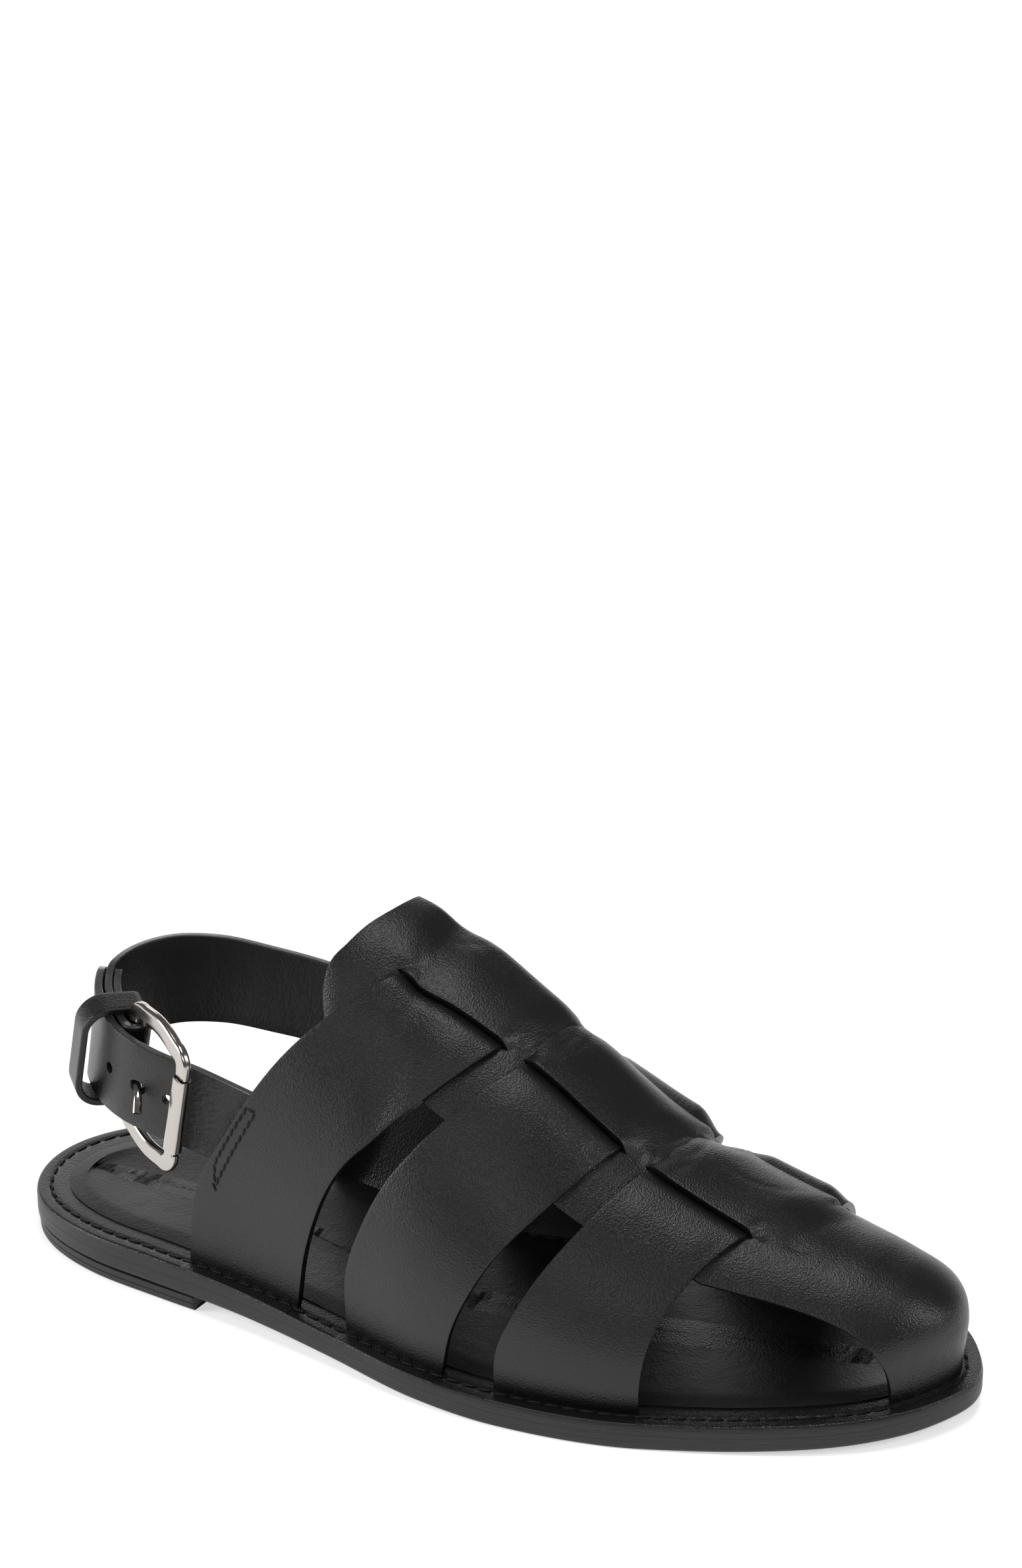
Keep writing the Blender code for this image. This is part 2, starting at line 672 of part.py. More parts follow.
def make_buckle_strap(collection, cutters, material):
    points = buckle_strap_line()
    normals = outward_normals(points)
    along = np.concatenate([[0], np.cumsum(np.linalg.norm(np.diff(points, axis=0), axis=1))])
    half = STRAP_WIDTH / 2
    widths = []
    for a in along:
        to_tip = max(0.0, 1 - a / (half * TIP_SHARE))
        widths.append(2 * half * math.sqrt(max(TIP_BLUNT, 1 - to_tip**2)))
    rings = band_rings(points, normals, widths, STRAP)
    strap = mesh_object("buckle_strap", loft(rings), material, collection)
    start = frame_matrix() @ Vector((PRONG_LOOP - FRAME_LENGTH / 2, 0, 0))
    prong = prong_direction()
    from_prong = [(Vector(p) - start).cross(prong).length for p in points]
    middle = along[int(np.argmin(from_prong))]
    for number in (-1, 0, 1):
        at = middle + number * HOLE_SPACING
        centre = Vector([float(np.interp(at, along, points[:, i])) for i in range(3)])
        normal = Vector([float(np.interp(at, along, normals[:, i])) for i in range(3)])
        axis, radius = (prong, PRONG_HOLE_RADIUS) if number == 0 else (normal, HOLE_RADIUS)
        hole = bmesh.new()
        bmesh.ops.create_cone(
            hole, cap_ends=True, segments=HOLE_SIDES, radius1=radius, radius2=radius, depth=5 * STRAP
        )
        turned = axis.to_track_quat("Z", "Y").to_matrix().to_4x4()
        bmesh.ops.transform(hole, matrix=Matrix.Translation(centre) @ turned, verts=hole.verts)
        cut(strap, mesh_object(f"hole_{number + 2}", hole, None, cutters))
    return strap


def rounded_rectangle(width, height, radii, steps):
    """Corner-rounded loop in a plane, anticlockwise from the lower right corner; radii right and left."""
    points = []
    for corner, (a, b) in enumerate(((1, -1), (1, 1), (-1, 1), (-1, -1))):
        radius = radii[0] if a > 0 else radii[1]
        for i in range(steps + 1):
            turned = math.radians(-90 + corner * 90 + 90 * i / steps)
            points.append((
                a * (width / 2 - radius) + radius * math.cos(turned),
                b * (height / 2 - radius) + radius * math.sin(turned),
            ))
    return points


SECTION_CORNER = 0.3  # chamfer of a flat section as a share of its smaller side


def ring_body(path, widths, thickness):
    """Closed loft of a flat section along a loop in the local plane."""
    count = len(path)
    rings = []
    for i, ((x, y), width) in enumerate(zip(path, widths)):
        before, after = path[i - 1], path[(i + 1) % count]
        direction = Vector((after[0] - before[0], after[1] - before[1])).normalized()
        out = Vector((direction.y, -direction.x))
        ring = []
        corner = min(width, thickness) * SECTION_CORNER
        for a, b in rounded_rectangle(width, thickness, (corner, corner), 1):
            ring.append((x + out.x * a, y + out.y * a, b))
        rings.append(ring)
    return loft(rings, closed=True)


def make_frame(collection, material):
    """Flat ring, narrowed where the sleeve turns on the front bar and where the sling folds round the back bar."""
    corners = rounded_rectangle(FRAME_LENGTH, FRAME_HEIGHT, (FRAME_CORNER, FRAME_CORNER), 4)
    steps = len(corners) // 4
    path, widths = [], []
    for side, neck in ((1, SLEEVE_LENGTH / 2 + GAP), (-1, STRAP_WIDTH / 2 + 2 * GAP)):
        heights = [side * h for h in (-neck - NECK_SHOULDER, -neck, neck, neck + NECK_SHOULDER)]
        bar = [(side * FRAME_LENGTH / 2, h) for h in heights]
        first = 0 if side == 1 else 2 * steps
        path += [*corners[first:first + steps], *bar, *corners[first + steps:first + 2 * steps]]
        widths += [BAR_WIDTH] * (steps + 1) + [NECK_WIDTH] * 2 + [BAR_WIDTH] * (steps + 1)
    bm = ring_body(path, widths, BAR_THICKNESS)
    bmesh.ops.transform(bm, matrix=frame_matrix(), verts=bm.verts)
    return mesh_object("buckle_frame", bm, material, collection)


def make_sleeve(collection, material):
    width, thickness = NECK_WIDTH + 2 * GAP, BAR_THICKNESS + 2 * GAP
    inner = rounded_rectangle(width, thickness, SLEEVE_CORNERS[:1] * 2, 2)
    outer = rounded_rectangle(width + 2 * SLEEVE_WALL, thickness + 2 * SLEEVE_WALL, SLEEVE_CORNERS[1:] * 2, 2)
    half = SLEEVE_LENGTH / 2
    rings = [
        [(FRAME_LENGTH / 2 + x, y, z) for x, z in section]
        for section, y in ((outer, -half), (outer, half), (inner, half), (inner, -half))
    ]
    bm = loft(rings, closed=True)
    bmesh.ops.transform(bm, matrix=frame_matrix(), verts=bm.verts)
    return mesh_object("buckle_sleeve", bm, material, collection)


PRONG_LOOP_ANGLES = range(80, 361, 28)
PRONG_CLEARANCE = 0.35
# Prong past its loop: share of its length, drop of its tip
PRONG_SHAPE = ((0.2, 0.0), (0.65, 0.4), (0.8, 1.2), (1.0, 3.6))
PRONG_SIDES = 8
TIP_FLAT = (0.9, 1.5)  # the last two sections: thickness and width over the pin's


def make_prong(collection, material):
    """Pin that wraps the back bar, goes out through the middle hole and ends in a flattened, bent tip."""
    reach_z = BAR_THICKNESS / 2 + PRONG_RADIUS + PRONG_CLEARANCE
    path = []
    for degrees in PRONG_LOOP_ANGLES:
        turned = math.radians(degrees)
        path.append(Vector((PRONG_LOOP * math.cos(turned), 0, reach_z * math.sin(turned))))
    swing = math.radians(PRONG_SWING)
    for along, down in PRONG_SHAPE:
        reach = PRONG_LENGTH * along
        path.append(Vector((PRONG_LOOP + reach * math.cos(swing), -down, reach * math.sin(swing))))
    rings = []
    for i, p in enumerate(path):
        before, after = path[max(0, i - 1)], path[min(len(path) - 1, i + 1)]
        direction = (after - before).normalized()
        up = Vector((0, 1, 0)) - direction * direction.y
        up.normalize()
        across = direction.cross(up)
        tall, wide = (1.0, 1.0) if i < len(path) - 2 else TIP_FLAT
        ring = []
        for k in range(PRONG_SIDES):
            a = 2 * math.pi * k / PRONG_SIDES
            ring.append(p + PRONG_RADIUS * (up * math.cos(a) * tall + across * math.sin(a) * wide))
        rings.append(ring)
    bm = loft(rings)
    matrix = frame_matrix() @ Matrix.Translation((-FRAME_LENGTH / 2, 0, 0))
    bmesh.ops.transform(bm, matrix=matrix, verts=bm.verts)
    return mesh_object("buckle_prong", bm, material, collection)


def make_keeper(collection, material):
    """Loose oval loop round both straps just behind the buckle, standing off on the outer side."""
    run, normals = sling_layers()
    at = int(np.argmin(abs(run[:, 1] - KEEPER_Y)))
    centre, upward = Vector(run[at]), strap_up(run[at])
    normal = Vector(normals[at])
    normal = (normal - upward * normal.dot(upward)).normalized()
    along = normal.cross(upward)
    path = rounded_rectangle(*KEEPER_SIZE, KEEPER_CORNERS, 4)
    bm = ring_body(path, [KEEPER_WALL] * len(path), KEEPER_STRIP)
    turned = Matrix((normal, upward, along)).transposed().to_4x4()
    placed = Matrix.Translation(centre + normal * KEEPER_OUT - upward * KEEPER_DROP) @ turned
    bmesh.ops.transform(bm, matrix=placed, verts=bm.verts)
    return mesh_object("keeper_loop", bm, material, collection)


for old in list(bpy.data.objects):
    bpy.data.objects.remove(old)

sandal = new_collection("fisherman_sandal")
cutters = new_collection("cutters")
calf = colour_material("calf_leather", (0.010, 0.010, 0.011), 0.38)
sole_leather = colour_material("sole_leather", (0.022, 0.020, 0.019), 0.5)
sock_leather = colour_material("sock_leather", (0.013, 0.013, 0.014), 0.45)
nickel = colour_material("polished_nickel", (0.62, 0.58, 0.53), 0.2, 1.0)

make_outsole(sandal, sole_leather)
make_heel(sandal, sole_leather)
cut_flange_seats(make_midsole(sandal, sole_leather), cutters)
make_footbed(sandal, sock_leather)
make_upper(sandal, calf)
make_sling(sandal, cutters, calf)
make_buckle_strap(sandal, cutters, calf)
make_keeper(sandal, calf)
make_frame(sandal, nickel)
make_sleeve(sandal, nickel)
make_prong(sandal, nickel)
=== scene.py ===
import math

import bpy
import numpy as np
from mathutils import Matrix, Vector


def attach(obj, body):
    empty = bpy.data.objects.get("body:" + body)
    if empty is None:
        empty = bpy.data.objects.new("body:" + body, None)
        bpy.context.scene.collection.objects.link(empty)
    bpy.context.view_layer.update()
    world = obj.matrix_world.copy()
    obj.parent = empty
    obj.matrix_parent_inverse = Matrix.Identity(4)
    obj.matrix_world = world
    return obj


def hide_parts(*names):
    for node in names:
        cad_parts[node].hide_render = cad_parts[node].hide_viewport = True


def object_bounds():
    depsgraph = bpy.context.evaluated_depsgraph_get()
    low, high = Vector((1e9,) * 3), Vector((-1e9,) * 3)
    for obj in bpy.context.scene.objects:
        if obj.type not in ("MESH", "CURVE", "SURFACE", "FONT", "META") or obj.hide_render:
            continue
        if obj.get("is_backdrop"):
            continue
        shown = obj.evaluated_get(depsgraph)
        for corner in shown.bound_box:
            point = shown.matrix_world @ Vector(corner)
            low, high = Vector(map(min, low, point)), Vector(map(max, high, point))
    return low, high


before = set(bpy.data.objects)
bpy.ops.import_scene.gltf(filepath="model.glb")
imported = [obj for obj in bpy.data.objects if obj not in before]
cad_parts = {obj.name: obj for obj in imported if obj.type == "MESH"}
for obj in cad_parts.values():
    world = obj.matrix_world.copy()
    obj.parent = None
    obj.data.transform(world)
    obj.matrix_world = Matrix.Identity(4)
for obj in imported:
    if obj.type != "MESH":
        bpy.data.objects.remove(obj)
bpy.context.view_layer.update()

# The outsole: one plate of sole leather under the whole foot, with a waist, a shallow arch and a little toe
# spring. Its edge is trimmed, blackened and waxed, which leaves fine streaks along it.
MM = 0.001
MERGE_WITHIN = 0.005 * MM
SMOOTH_ANGLE = 40.0
LENGTH = 290.0
EDGE = (
    (0, 0.0, 0.0), (4, -15.6, 15.4), (14, -26.7, 27.0), (35, -36.0, 34.2), (60, -39.9, 35.0), (90, -43.5, 32.0),
    (120, -49.3, 29.4), (150, -55.8, 31.6), (180, -56.5, 40.0), (205, -53.0, 48.0), (225, -46.6, 49.8),
    (245, -38.7, 47.3), (263, -29.5, 41.0), (278, -17.5, 30.0), (287, -4.5, 17.0), (290, 6.0, 6.0),
)
RIM_TOP = (
    (0, 12.5), (30, 13.2), (60, 13.4), (80, 12.6), (100, 11.1), (150, 8.4), (190, 7.8), (225, 8.1), (260, 9.6),
    (290, 11.2),
)
SOLE_BOTTOM = (
    (0, 4.6), (75, 4.6), (100, 3.7), (150, 1.0), (172, 0), (190, 0), (212, 0), (235, 0.6), (260, 1.9), (290, 4.2),
)


def smooth(table_x, table_y, x):
    """A smooth curve through a table's rows."""
    table_x, table_y = np.asarray(table_x, float), np.asarray(table_y, float)
    x = np.clip(x, table_x[0], table_x[-1])
    step = np.diff(table_x)
    rise = np.diff(table_y) / step
    inner = (rise[:-1] * step[1:] + rise[1:] * step[:-1]) / (step[1:] + step[:-1])
    slope = np.concatenate([rise[:1], inner, rise[-1:]])
    i = np.clip(np.searchsorted(table_x, x, side="right") - 1, 0, len(step) - 1)
    t = (x - table_x[i]) / step[i]
    return (
        (1 + 2 * t) * (1 - t) ** 2 * table_y[i] + t * (1 - t) ** 2 * step[i] * slope[i]
        + t * t * (3 - 2 * t) * table_y[i + 1] + t * t * (t - 1) * step[i] * slope[i + 1]
    )


def column(table, index):
    return [row[index] for row in table]


def rim_z(x):
    return smooth(column(RIM_TOP, 0), column(RIM_TOP, 1), x)


def bottom_z(x):
    return np.maximum(0.0, smooth(column(SOLE_BOTTOM, 0), column(SOLE_BOTTOM, 1), x))


def turn(x):
    return np.arccos(np.clip(1 - 2 * np.asarray(x, float) / LENGTH, -1, 1)) / math.pi


def edge_line(inset, count=721):
    """Lateral and medial edge of the sole from heel to toe, moved in along its own normal."""
    share = np.linspace(0, 1, count)
    x = LENGTH * (1 - np.cos(math.pi * share)) / 2
    sides = []
    for index, turned in ((1, 1), (2, -1)):
        y = smooth(turn(column(EDGE, 0)), column(EDGE, index), share)
        dx, dy = np.gradient(x), np.gradient(y)
        length = np.hypot(dx, dy)
        sides.append(np.stack([x - turned * inset * dy / length, y + turned * inset * dx / length], 1))
    return sides


EDGE_HALF = 240
lateral_edge, medial_edge = edge_line(0.0)
FOOT_MIDDLE = np.array([LENGTH / 2, (lateral_edge[:, 1].min() + medial_edge[:, 1].max()) / 2, 0.0])


def edge_loop(inset):
    """Points all round the sole, from the heel along the lateral side to the toe and back."""
    lateral, medial = edge_line(inset, EDGE_HALF + 1)
    return np.concatenate([lateral, medial[::-1]])


MIDDLE = edge_loop(14.0)
MIDDLE = (MIDDLE + MIDDLE[::-1]) / 2


def in_part(points):
    return (np.asarray(points, float) - FOOT_MIDDLE) * MM


def only(piece):
    """Selects one piece and nothing else."""
    bpy.ops.object.select_all(action="DESELECT")
    piece.select_set(True)
    bpy.context.view_layer.objects.active = piece


def on_all_of(piece, operator, **settings):
    """Runs an edit mode operator on the whole mesh of a piece."""
    only(piece)
    bpy.ops.object.mode_set(mode="EDIT")
    bpy.ops.mesh.select_all(action="SELECT")
    operator(**settings)
    bpy.ops.object.mode_set(mode="OBJECT")


def laid(name, points, smooth_angle=SMOOTH_ANGLE, cut=None):
    """A grid with one vertex for each given point, laid on those points, its doubles merged and its cuts opened."""
    points = np.asarray(points, float)
    rows, columns = points.shape[:2]
    bpy.ops.object.select_all(action="DESELECT")
    bpy.ops.mesh.primitive_grid_add(x_subdivisions=columns - 1, y_subdivisions=rows - 1, size=2.0)
    piece = bpy.context.object
    piece.name = name
    mesh = piece.data
    mesh.name = name

    def place_in_grid(elements, key):
        places = np.zeros(len(elements) * 3)
        elements.foreach_get(key, places)
        places = places.reshape(-1, 3)
        return (places[:, 1] + 1) / 2 * (rows - 1), (places[:, 0] + 1) / 2 * (columns - 1)

    if cut is not None:
        gone = cut[tuple(np.floor(place).astype(int) for place in place_in_grid(mesh.polygons, "center"))]
    laid_at = tuple(np.rint(place).astype(int) for place in place_in_grid(mesh.vertices, "co"))
    mesh.vertices.foreach_set("co", in_part(points[laid_at]).ravel())
    if cut is not None:
        bpy.ops.object.mode_set(mode="EDIT")
        bpy.ops.mesh.select_mode(type="FACE")
        bpy.ops.mesh.select_all(action="DESELECT")
        bpy.ops.object.mode_set(mode="OBJECT")
        mesh.polygons.foreach_set("select", gone)
        bpy.ops.object.mode_set(mode="EDIT")
        bpy.ops.mesh.delete(type="FACE")
        bpy.ops.mesh.select_mode(type="VERT")
        bpy.ops.object.mode_set(mode="OBJECT")
    on_all_of(piece, bpy.ops.mesh.remove_doubles, threshold=MERGE_WITHIN)
    bpy.ops.object.shade_smooth_by_angle(angle=math.radians(smooth_angle))
    return piece


def face_out(piece):
    on_all_of(piece, bpy.ops.mesh.normals_make_consistent, inside=False)


def plate_rings(profile):
    """Rings of a plate of the sole from its profile: distance in from the edge and a height function."""
    rings = []
    for inset, height in profile:
        ring = MIDDLE if inset is None else edge_loop(inset)
        rings.append(np.column_stack([ring, height(ring[:, 0])]))
    return rings


def closed(name, rings, smooth_angle=SMOOTH_ANGLE):
    piece = laid(name, np.array(rings), smooth_angle)
    face_out(piece)
    return piece


def material(name, colour, roughness, metallic=0.0, **sockets):
    made = bpy.data.materials.new(name)
    made.use_nodes = True
    shader = made.node_tree.nodes["Principled BSDF"]
    shader.inputs["Base Color"].default_value = (*colour, 1.0)
    shader.inputs["Roughness"].default_value = roughness
    shader.inputs["Metallic"].default_value = metallic
    for socket, value in sockets.items():
        shader.inputs[socket.replace("_", " ").title().replace("Ior", "IOR")].default_value = value
    return made


def node(made, kind, **settings):
    made_node = made.node_tree.nodes.new("ShaderNode" + kind)
    for key, value in settings.items():
        if key.startswith("in_"):
            made_node.inputs[key[3:].replace("_", " ").title()].default_value = value
        else:
            setattr(made_node, key, value)
    return made_node


def join(made, out, into):
    made.node_tree.links.new(out, into)


def varied(made, low, high, source, socket):
    """Runs a texture's value through a range into one of the shader's sockets."""
    ramp = node(made, "MapRange")
    ramp.inputs["To Min"].default_value, ramp.inputs["To Max"].default_value = low, high
    join(made, source, ramp.inputs["Value"])
    join(made, ramp.outputs["Result"], made.node_tree.nodes["Principled BSDF"].inputs[socket])
    return ramp


def object_place(made, stretch=(1, 1, 1)):
    coordinates = node(made, "TexCoord")
    mapping = node(made, "Mapping")
    mapping.inputs["Scale"].default_value = stretch
    join(made, coordinates.outputs["Object"], mapping.inputs["Vector"])
    return mapping.outputs["Vector"]


def texture(made, kind, stretch=(1, 1, 1), **settings):
    """A texture that reads the piece's Object coordinates."""
    pattern = node(made, "Tex" + kind, **settings)
    join(made, object_place(made, stretch), pattern.inputs["Vector"])
    return pattern


def bumped(made, heights):
    """Bump from a list of (height output, distance in millimetres), one on top of the other."""
    last = None
    for height, distance in heights:
        bump = node(made, "Bump")
        bump.inputs["Strength"].default_value = 1.0
        bump.inputs["Distance"].default_value = distance * MM
        join(made, height, bump.inputs["Height"])
        if last:
            join(made, last, bump.inputs["Normal"])
        last = bump.outputs["Normal"]
    join(made, last, made.node_tree.nodes["Principled BSDF"].inputs["Normal"])


waxed_edge = material("waxed_edge", (0.008, 0.0078, 0.0075), 0.42, specular_ior_level=0.45)
streaks = texture(waxed_edge, "Noise", (0.6, 0.6, 14.0), in_scale=90.0, in_detail=6.0, in_roughness=0.65)
scuffs = texture(waxed_edge, "Noise", (0.4, 0.4, 2.5), in_scale=420.0, in_detail=4.0)
varied(waxed_edge, 0.33, 0.62, streaks.outputs["Fac"], "Roughness")
edge_tone = node(waxed_edge, "ValToRGB")
dark, light = edge_tone.color_ramp.elements
dark.position, dark.color = 0.35, (0.006, 0.0058, 0.0056, 1)
light.position, light.color = 0.75, (0.014, 0.0132, 0.0125, 1)
join(waxed_edge, streaks.outputs["Fac"], edge_tone.inputs["Fac"])
join(waxed_edge, edge_tone.outputs["Color"], waxed_edge.node_tree.nodes["Principled BSDF"].inputs["Base Color"])
bumped(waxed_edge, ((streaks.outputs["Fac"], 0.25), (scuffs.outputs["Fac"], 0.08)))

OUTSOLE = 4.4


def raised(base, height):
    return lambda x: base(x) + height


outsole = closed("outsole_leather_plate", plate_rings((
    (None, bottom_z), (14.0, bottom_z), (2.0, bottom_z), (1.0, bottom_z), (0.35, raised(bottom_z, 0.25)),
    (0.05, raised(bottom_z, 0.8)), (0.0, raised(bottom_z, 1.4)), (0.0, raised(bottom_z, 3.9)),
    (0.0, raised(bottom_z, OUTSOLE - 0.02)), (0.1, raised(bottom_z, OUTSOLE)), (9.0, raised(bottom_z, OUTSOLE)),
    (14.0, raised(bottom_z, OUTSOLE)), (None, raised(bottom_z, OUTSOLE)),
)))
outsole.data.materials.append(waxed_edge)
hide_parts("outsole")
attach(outsole, "root")

# The heel: a low block of two lifts, leather above and rubber below, under the back of the outsole. Its breast is
# cut flat across and its edge is waxed with the sole's.
HEEL_BREAST_X = 72.0
HEEL_HALF = 120
back_share = np.linspace(turn(HEEL_BREAST_X), 0, HEEL_HALF)


def heel_ring(inset, height):
    lateral, medial = edge_line(inset, 1441)
    at = np.linspace(0, 1, 1441)
    sides = [np.stack([np.interp(back_share, at, line[:, k]) for k in (0, 1)], 1) for line in (lateral, medial)]
    ring = np.concatenate([sides[0], sides[1][::-1]])
    return np.column_stack([ring, np.full(len(ring), height)])


def heel_middle(height):
    ring = heel_ring(14.0, height)
    return (ring + ring[::-1]) / 2


HEEL_TOP = 4.35
HEEL_PROFILE = (
    (14.0, 0.0), (1.4, 0.0), (0.85, 0.2), (0.6, 0.7), (0.55, 2.1), (0.75, 2.2), (0.75, 2.3), (0.5, 2.4),
    (0.5, HEEL_TOP - 0.2), (0.8, HEEL_TOP), (14.0, HEEL_TOP),
)
heel_rings = [heel_middle(0.0), *(heel_ring(*step) for step in HEEL_PROFILE), heel_middle(HEEL_TOP)]
heel = laid("heel_block_lifts", np.array(heel_rings))
bpy.ops.object.mode_set(mode="EDIT")
bpy.ops.mesh.select_mode(type="EDGE")
bpy.ops.mesh.select_all(action="DESELECT")
bpy.ops.mesh.select_non_manifold()
bpy.ops.mesh.edge_face_add()
bpy.ops.mesh.select_mode(type="VERT")
bpy.ops.object.mode_set(mode="OBJECT")
face_out(heel)
heel.data.materials.append(waxed_edge)
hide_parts("heel_block")
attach(heel, "root")

# The rim: the leather board between the outsole and the upper. It is covered in calf, and its top shows all round
# the foot as a flat rim with a sunk stitching line.
GAP = 0.3
FEATHER = 7.6
FLANGE = 1.5
STITCH_INSET = 4.4
GROOVE_DEPTH, GROOVE_HALF_WIDTH = 0.35, 0.75
calf = material("calf_leather", (0.0052, 0.0052, 0.0056), 0.36, specular_ior_level=0.42)
grain = texture(calf, "Voronoi", in_scale=1900.0)
pores = texture(calf, "Noise", in_scale=2600.0, in_detail=3.0)
clouds = texture(calf, "Noise", in_scale=38.0, in_detail=4.0, in_roughness=0.55)
varied(calf, 0.25, 0.42, clouds.outputs["Fac"], "Roughness")
bumped(calf, ((clouds.outputs["Fac"], 0.25), (grain.outputs["Distance"], 0.085), (pores.outputs["Fac"], 0.06)))


def joint_low(x):
    return bottom_z(x) + OUTSOLE + 0.02


def groove(inset):
    return GROOVE_DEPTH * math.exp(-((inset - STITCH_INSET) / GROOVE_HALF_WIDTH) ** 2)


RIM_INSETS = (0.5, 0.75, 1.1, 1.6, 2.6, 3.2, 3.6, 4.0, 4.4, 4.8, 5.2, 5.6, 6.4, 7.4)
RIM_CORNER = 1.2
rim_profile = [
    (None, joint_low), (14.0, joint_low), (0.1, joint_low), (0.0, raised(joint_low, 0.02)),
    (0.0, raised(joint_low, 0.5)), (0.0, raised(rim_z, -1.8)), (0.1, raised(rim_z, -1.1)),
    (0.28, raised(rim_z, -0.6)), *(
        (inset, raised(rim_z, -0.36 * max(0.0, RIM_CORNER - inset) ** 2 - groove(inset)))
        for inset in RIM_INSETS
    ),
    (8.4, rim_z), (14.0, rim_z), (None, rim_z),
]
rim = closed("rim_board", plate_rings(rim_profile))
rim.data.materials.append(calf)
rim.data.materials.append(waxed_edge)
PAINTED_BELOW = 0.5
for face in rim.data.polygons:
    if face.center.z / MM < rim_z(face.center.x / MM + FOOT_MIDDLE[0]) - PAINTED_BELOW:
        face.material_index = 1
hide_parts("midsole")
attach(rim, "root")

# The footbed: a padded sock of soft calf, a little lower along the middle where the foot rests, with a thin edge
# that is glued down inside the straps.
SOCK_INSET = 9.8
sock = material("sock_calf", (0.005, 0.005, 0.0053), 0.42, specular_ior_level=0.45)
sock_grain = texture(sock, "Voronoi", in_scale=1300.0)
sock_clouds = texture(sock, "Noise", in_scale=30.0, in_detail=5.0, in_roughness=0.6)
varied(sock, 0.36, 0.56, sock_clouds.outputs["Fac"], "Roughness")
bumped(sock, ((sock_clouds.outputs["Fac"], 0.6), (sock_grain.outputs["Distance"], 0.05)))


def sock_height(inset):
    return lambda x: rim_z(x) + 0.3 + 0.55 * min(1.0, max(0.0, inset - SOCK_INSET) / 5.0) ** 0.8


sock_profile = [(None, rim_z), (SOCK_INSET + 4, rim_z), (SOCK_INSET, rim_z), (SOCK_INSET - 0.05, raised(rim_z, 0.35))]
sock_profile += [(inset, sock_height(inset)) for inset in (9.85, 10.0, 10.3, 10.7, 11.2, 11.9, 12.7, 13.6, 14.8)]
sock_rings = plate_rings(sock_profile)
outer_ring = sock_rings[-1]
for share in np.linspace(0.06, 1, 16):
    ring = outer_ring[:, :2] * (1 - share) + MIDDLE * share
    dip = 0.9 * math.sin(math.pi / 2 * share) ** 1.3 - 0.25
    sock_rings.append(np.column_stack([ring, rim_z(ring[:, 0]) + 0.6 - dip]))
footbed = closed("padded_sock", sock_rings)
footbed.data.materials.append(sock)
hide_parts("footbed")
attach(footbed, "root")

# The vamp: one piece of calf from the tongue over the instep to the toe. Three cuts on each side let the cross
# straps dive under its middle, which rises over them, and its side wings lie under the straps.
LEATHER = 2.3
WALL = 2.05
CUT_EDGE_ROUND = 0.35
LAST = (
    (60, 4, 150, 2.2, 3), (80, 7, 138, 2.2, 5), (100, 10, 129, 2.3, 8), (118, 11.3, 116.6, 2.3, 9),
    (124, 11.6, 112.7, 2.3, 9), (130, 12, 107.6, 2.3, 9), (140, 11, 102.5, 2.25, 8), (154, 9.6, 94, 2.2, 7),
    (169, 8, 84.5, 2.1, 5),
    (180, 7, 76, 2.05, 4), (193, 5.8, 66.5, 2.0, 3), (218, 4.2, 54.5, 1.9, 2), (228, 4, 51, 1.9, 2),
    (250, 4, 44.5, 2.05, 1), (262, 4.6, 40.7, 2.15, 0), (272, 5.2, 34.8, 2.2, 0), (278, 5.6, 27.6, 2.2, 0),
    (281, 5.8, 20.6, 2.2, 0), (282.4, 6, 12.5, 2.2, 0),
)
LATERAL_FULLNESS = 2.2
LATERAL_BULGE = 1.5
ANGLES = (-90, -80, -70, -43, -20, 0, 27, 48, 70, 90)
TONGUE_END = (
    (-43, -38, -33, -26.5, -20, -10, 0, 10, 27, 40, 48),
    (109.5, 107.4, 107.3, 110, 112.4, 116, 118.4, 120.6, 119.5, 114.5, 111),
)
STRAP_LINES = (
    (
        (68.5, 72.8, 83.5, 110, 127, 134, 135, 123, 102, 80),
        (106.5, 111.3, 117.5, 142, 155.5, 162.5, 163, 152, 136, 120),
    ),
    (
        (124.2, 125.4, 131, 149.5, 162.5, 169.5, 168, 158, 146, 134),
        (156.5, 160.4, 166, 181.5, 190, 198, 204, 200, 189, 178),
    ),
    (
        (172.3, 173.9, 178.5, 190.5, 198.5, 205, 212, 210, 202, 194),
        (212, 212.2, 213, 220.5, 229.5, 237.5, 242.5, 241, 237, 233),
    ),
)
WING_ANGLES = (-43.0, 48.0)
SLIT_Y = (-11.5, 18.5)
TOE_CORNERS_X = (271.5, 267.0)
TONGUE_ROLL, ROLL_LENGTH = 1.2, 7.0
LIP_REACH = 3.2
WING_DIP, WING_DIP_REACH = 1.7, 4.0
SLIT_OPENS_AT = 0.02
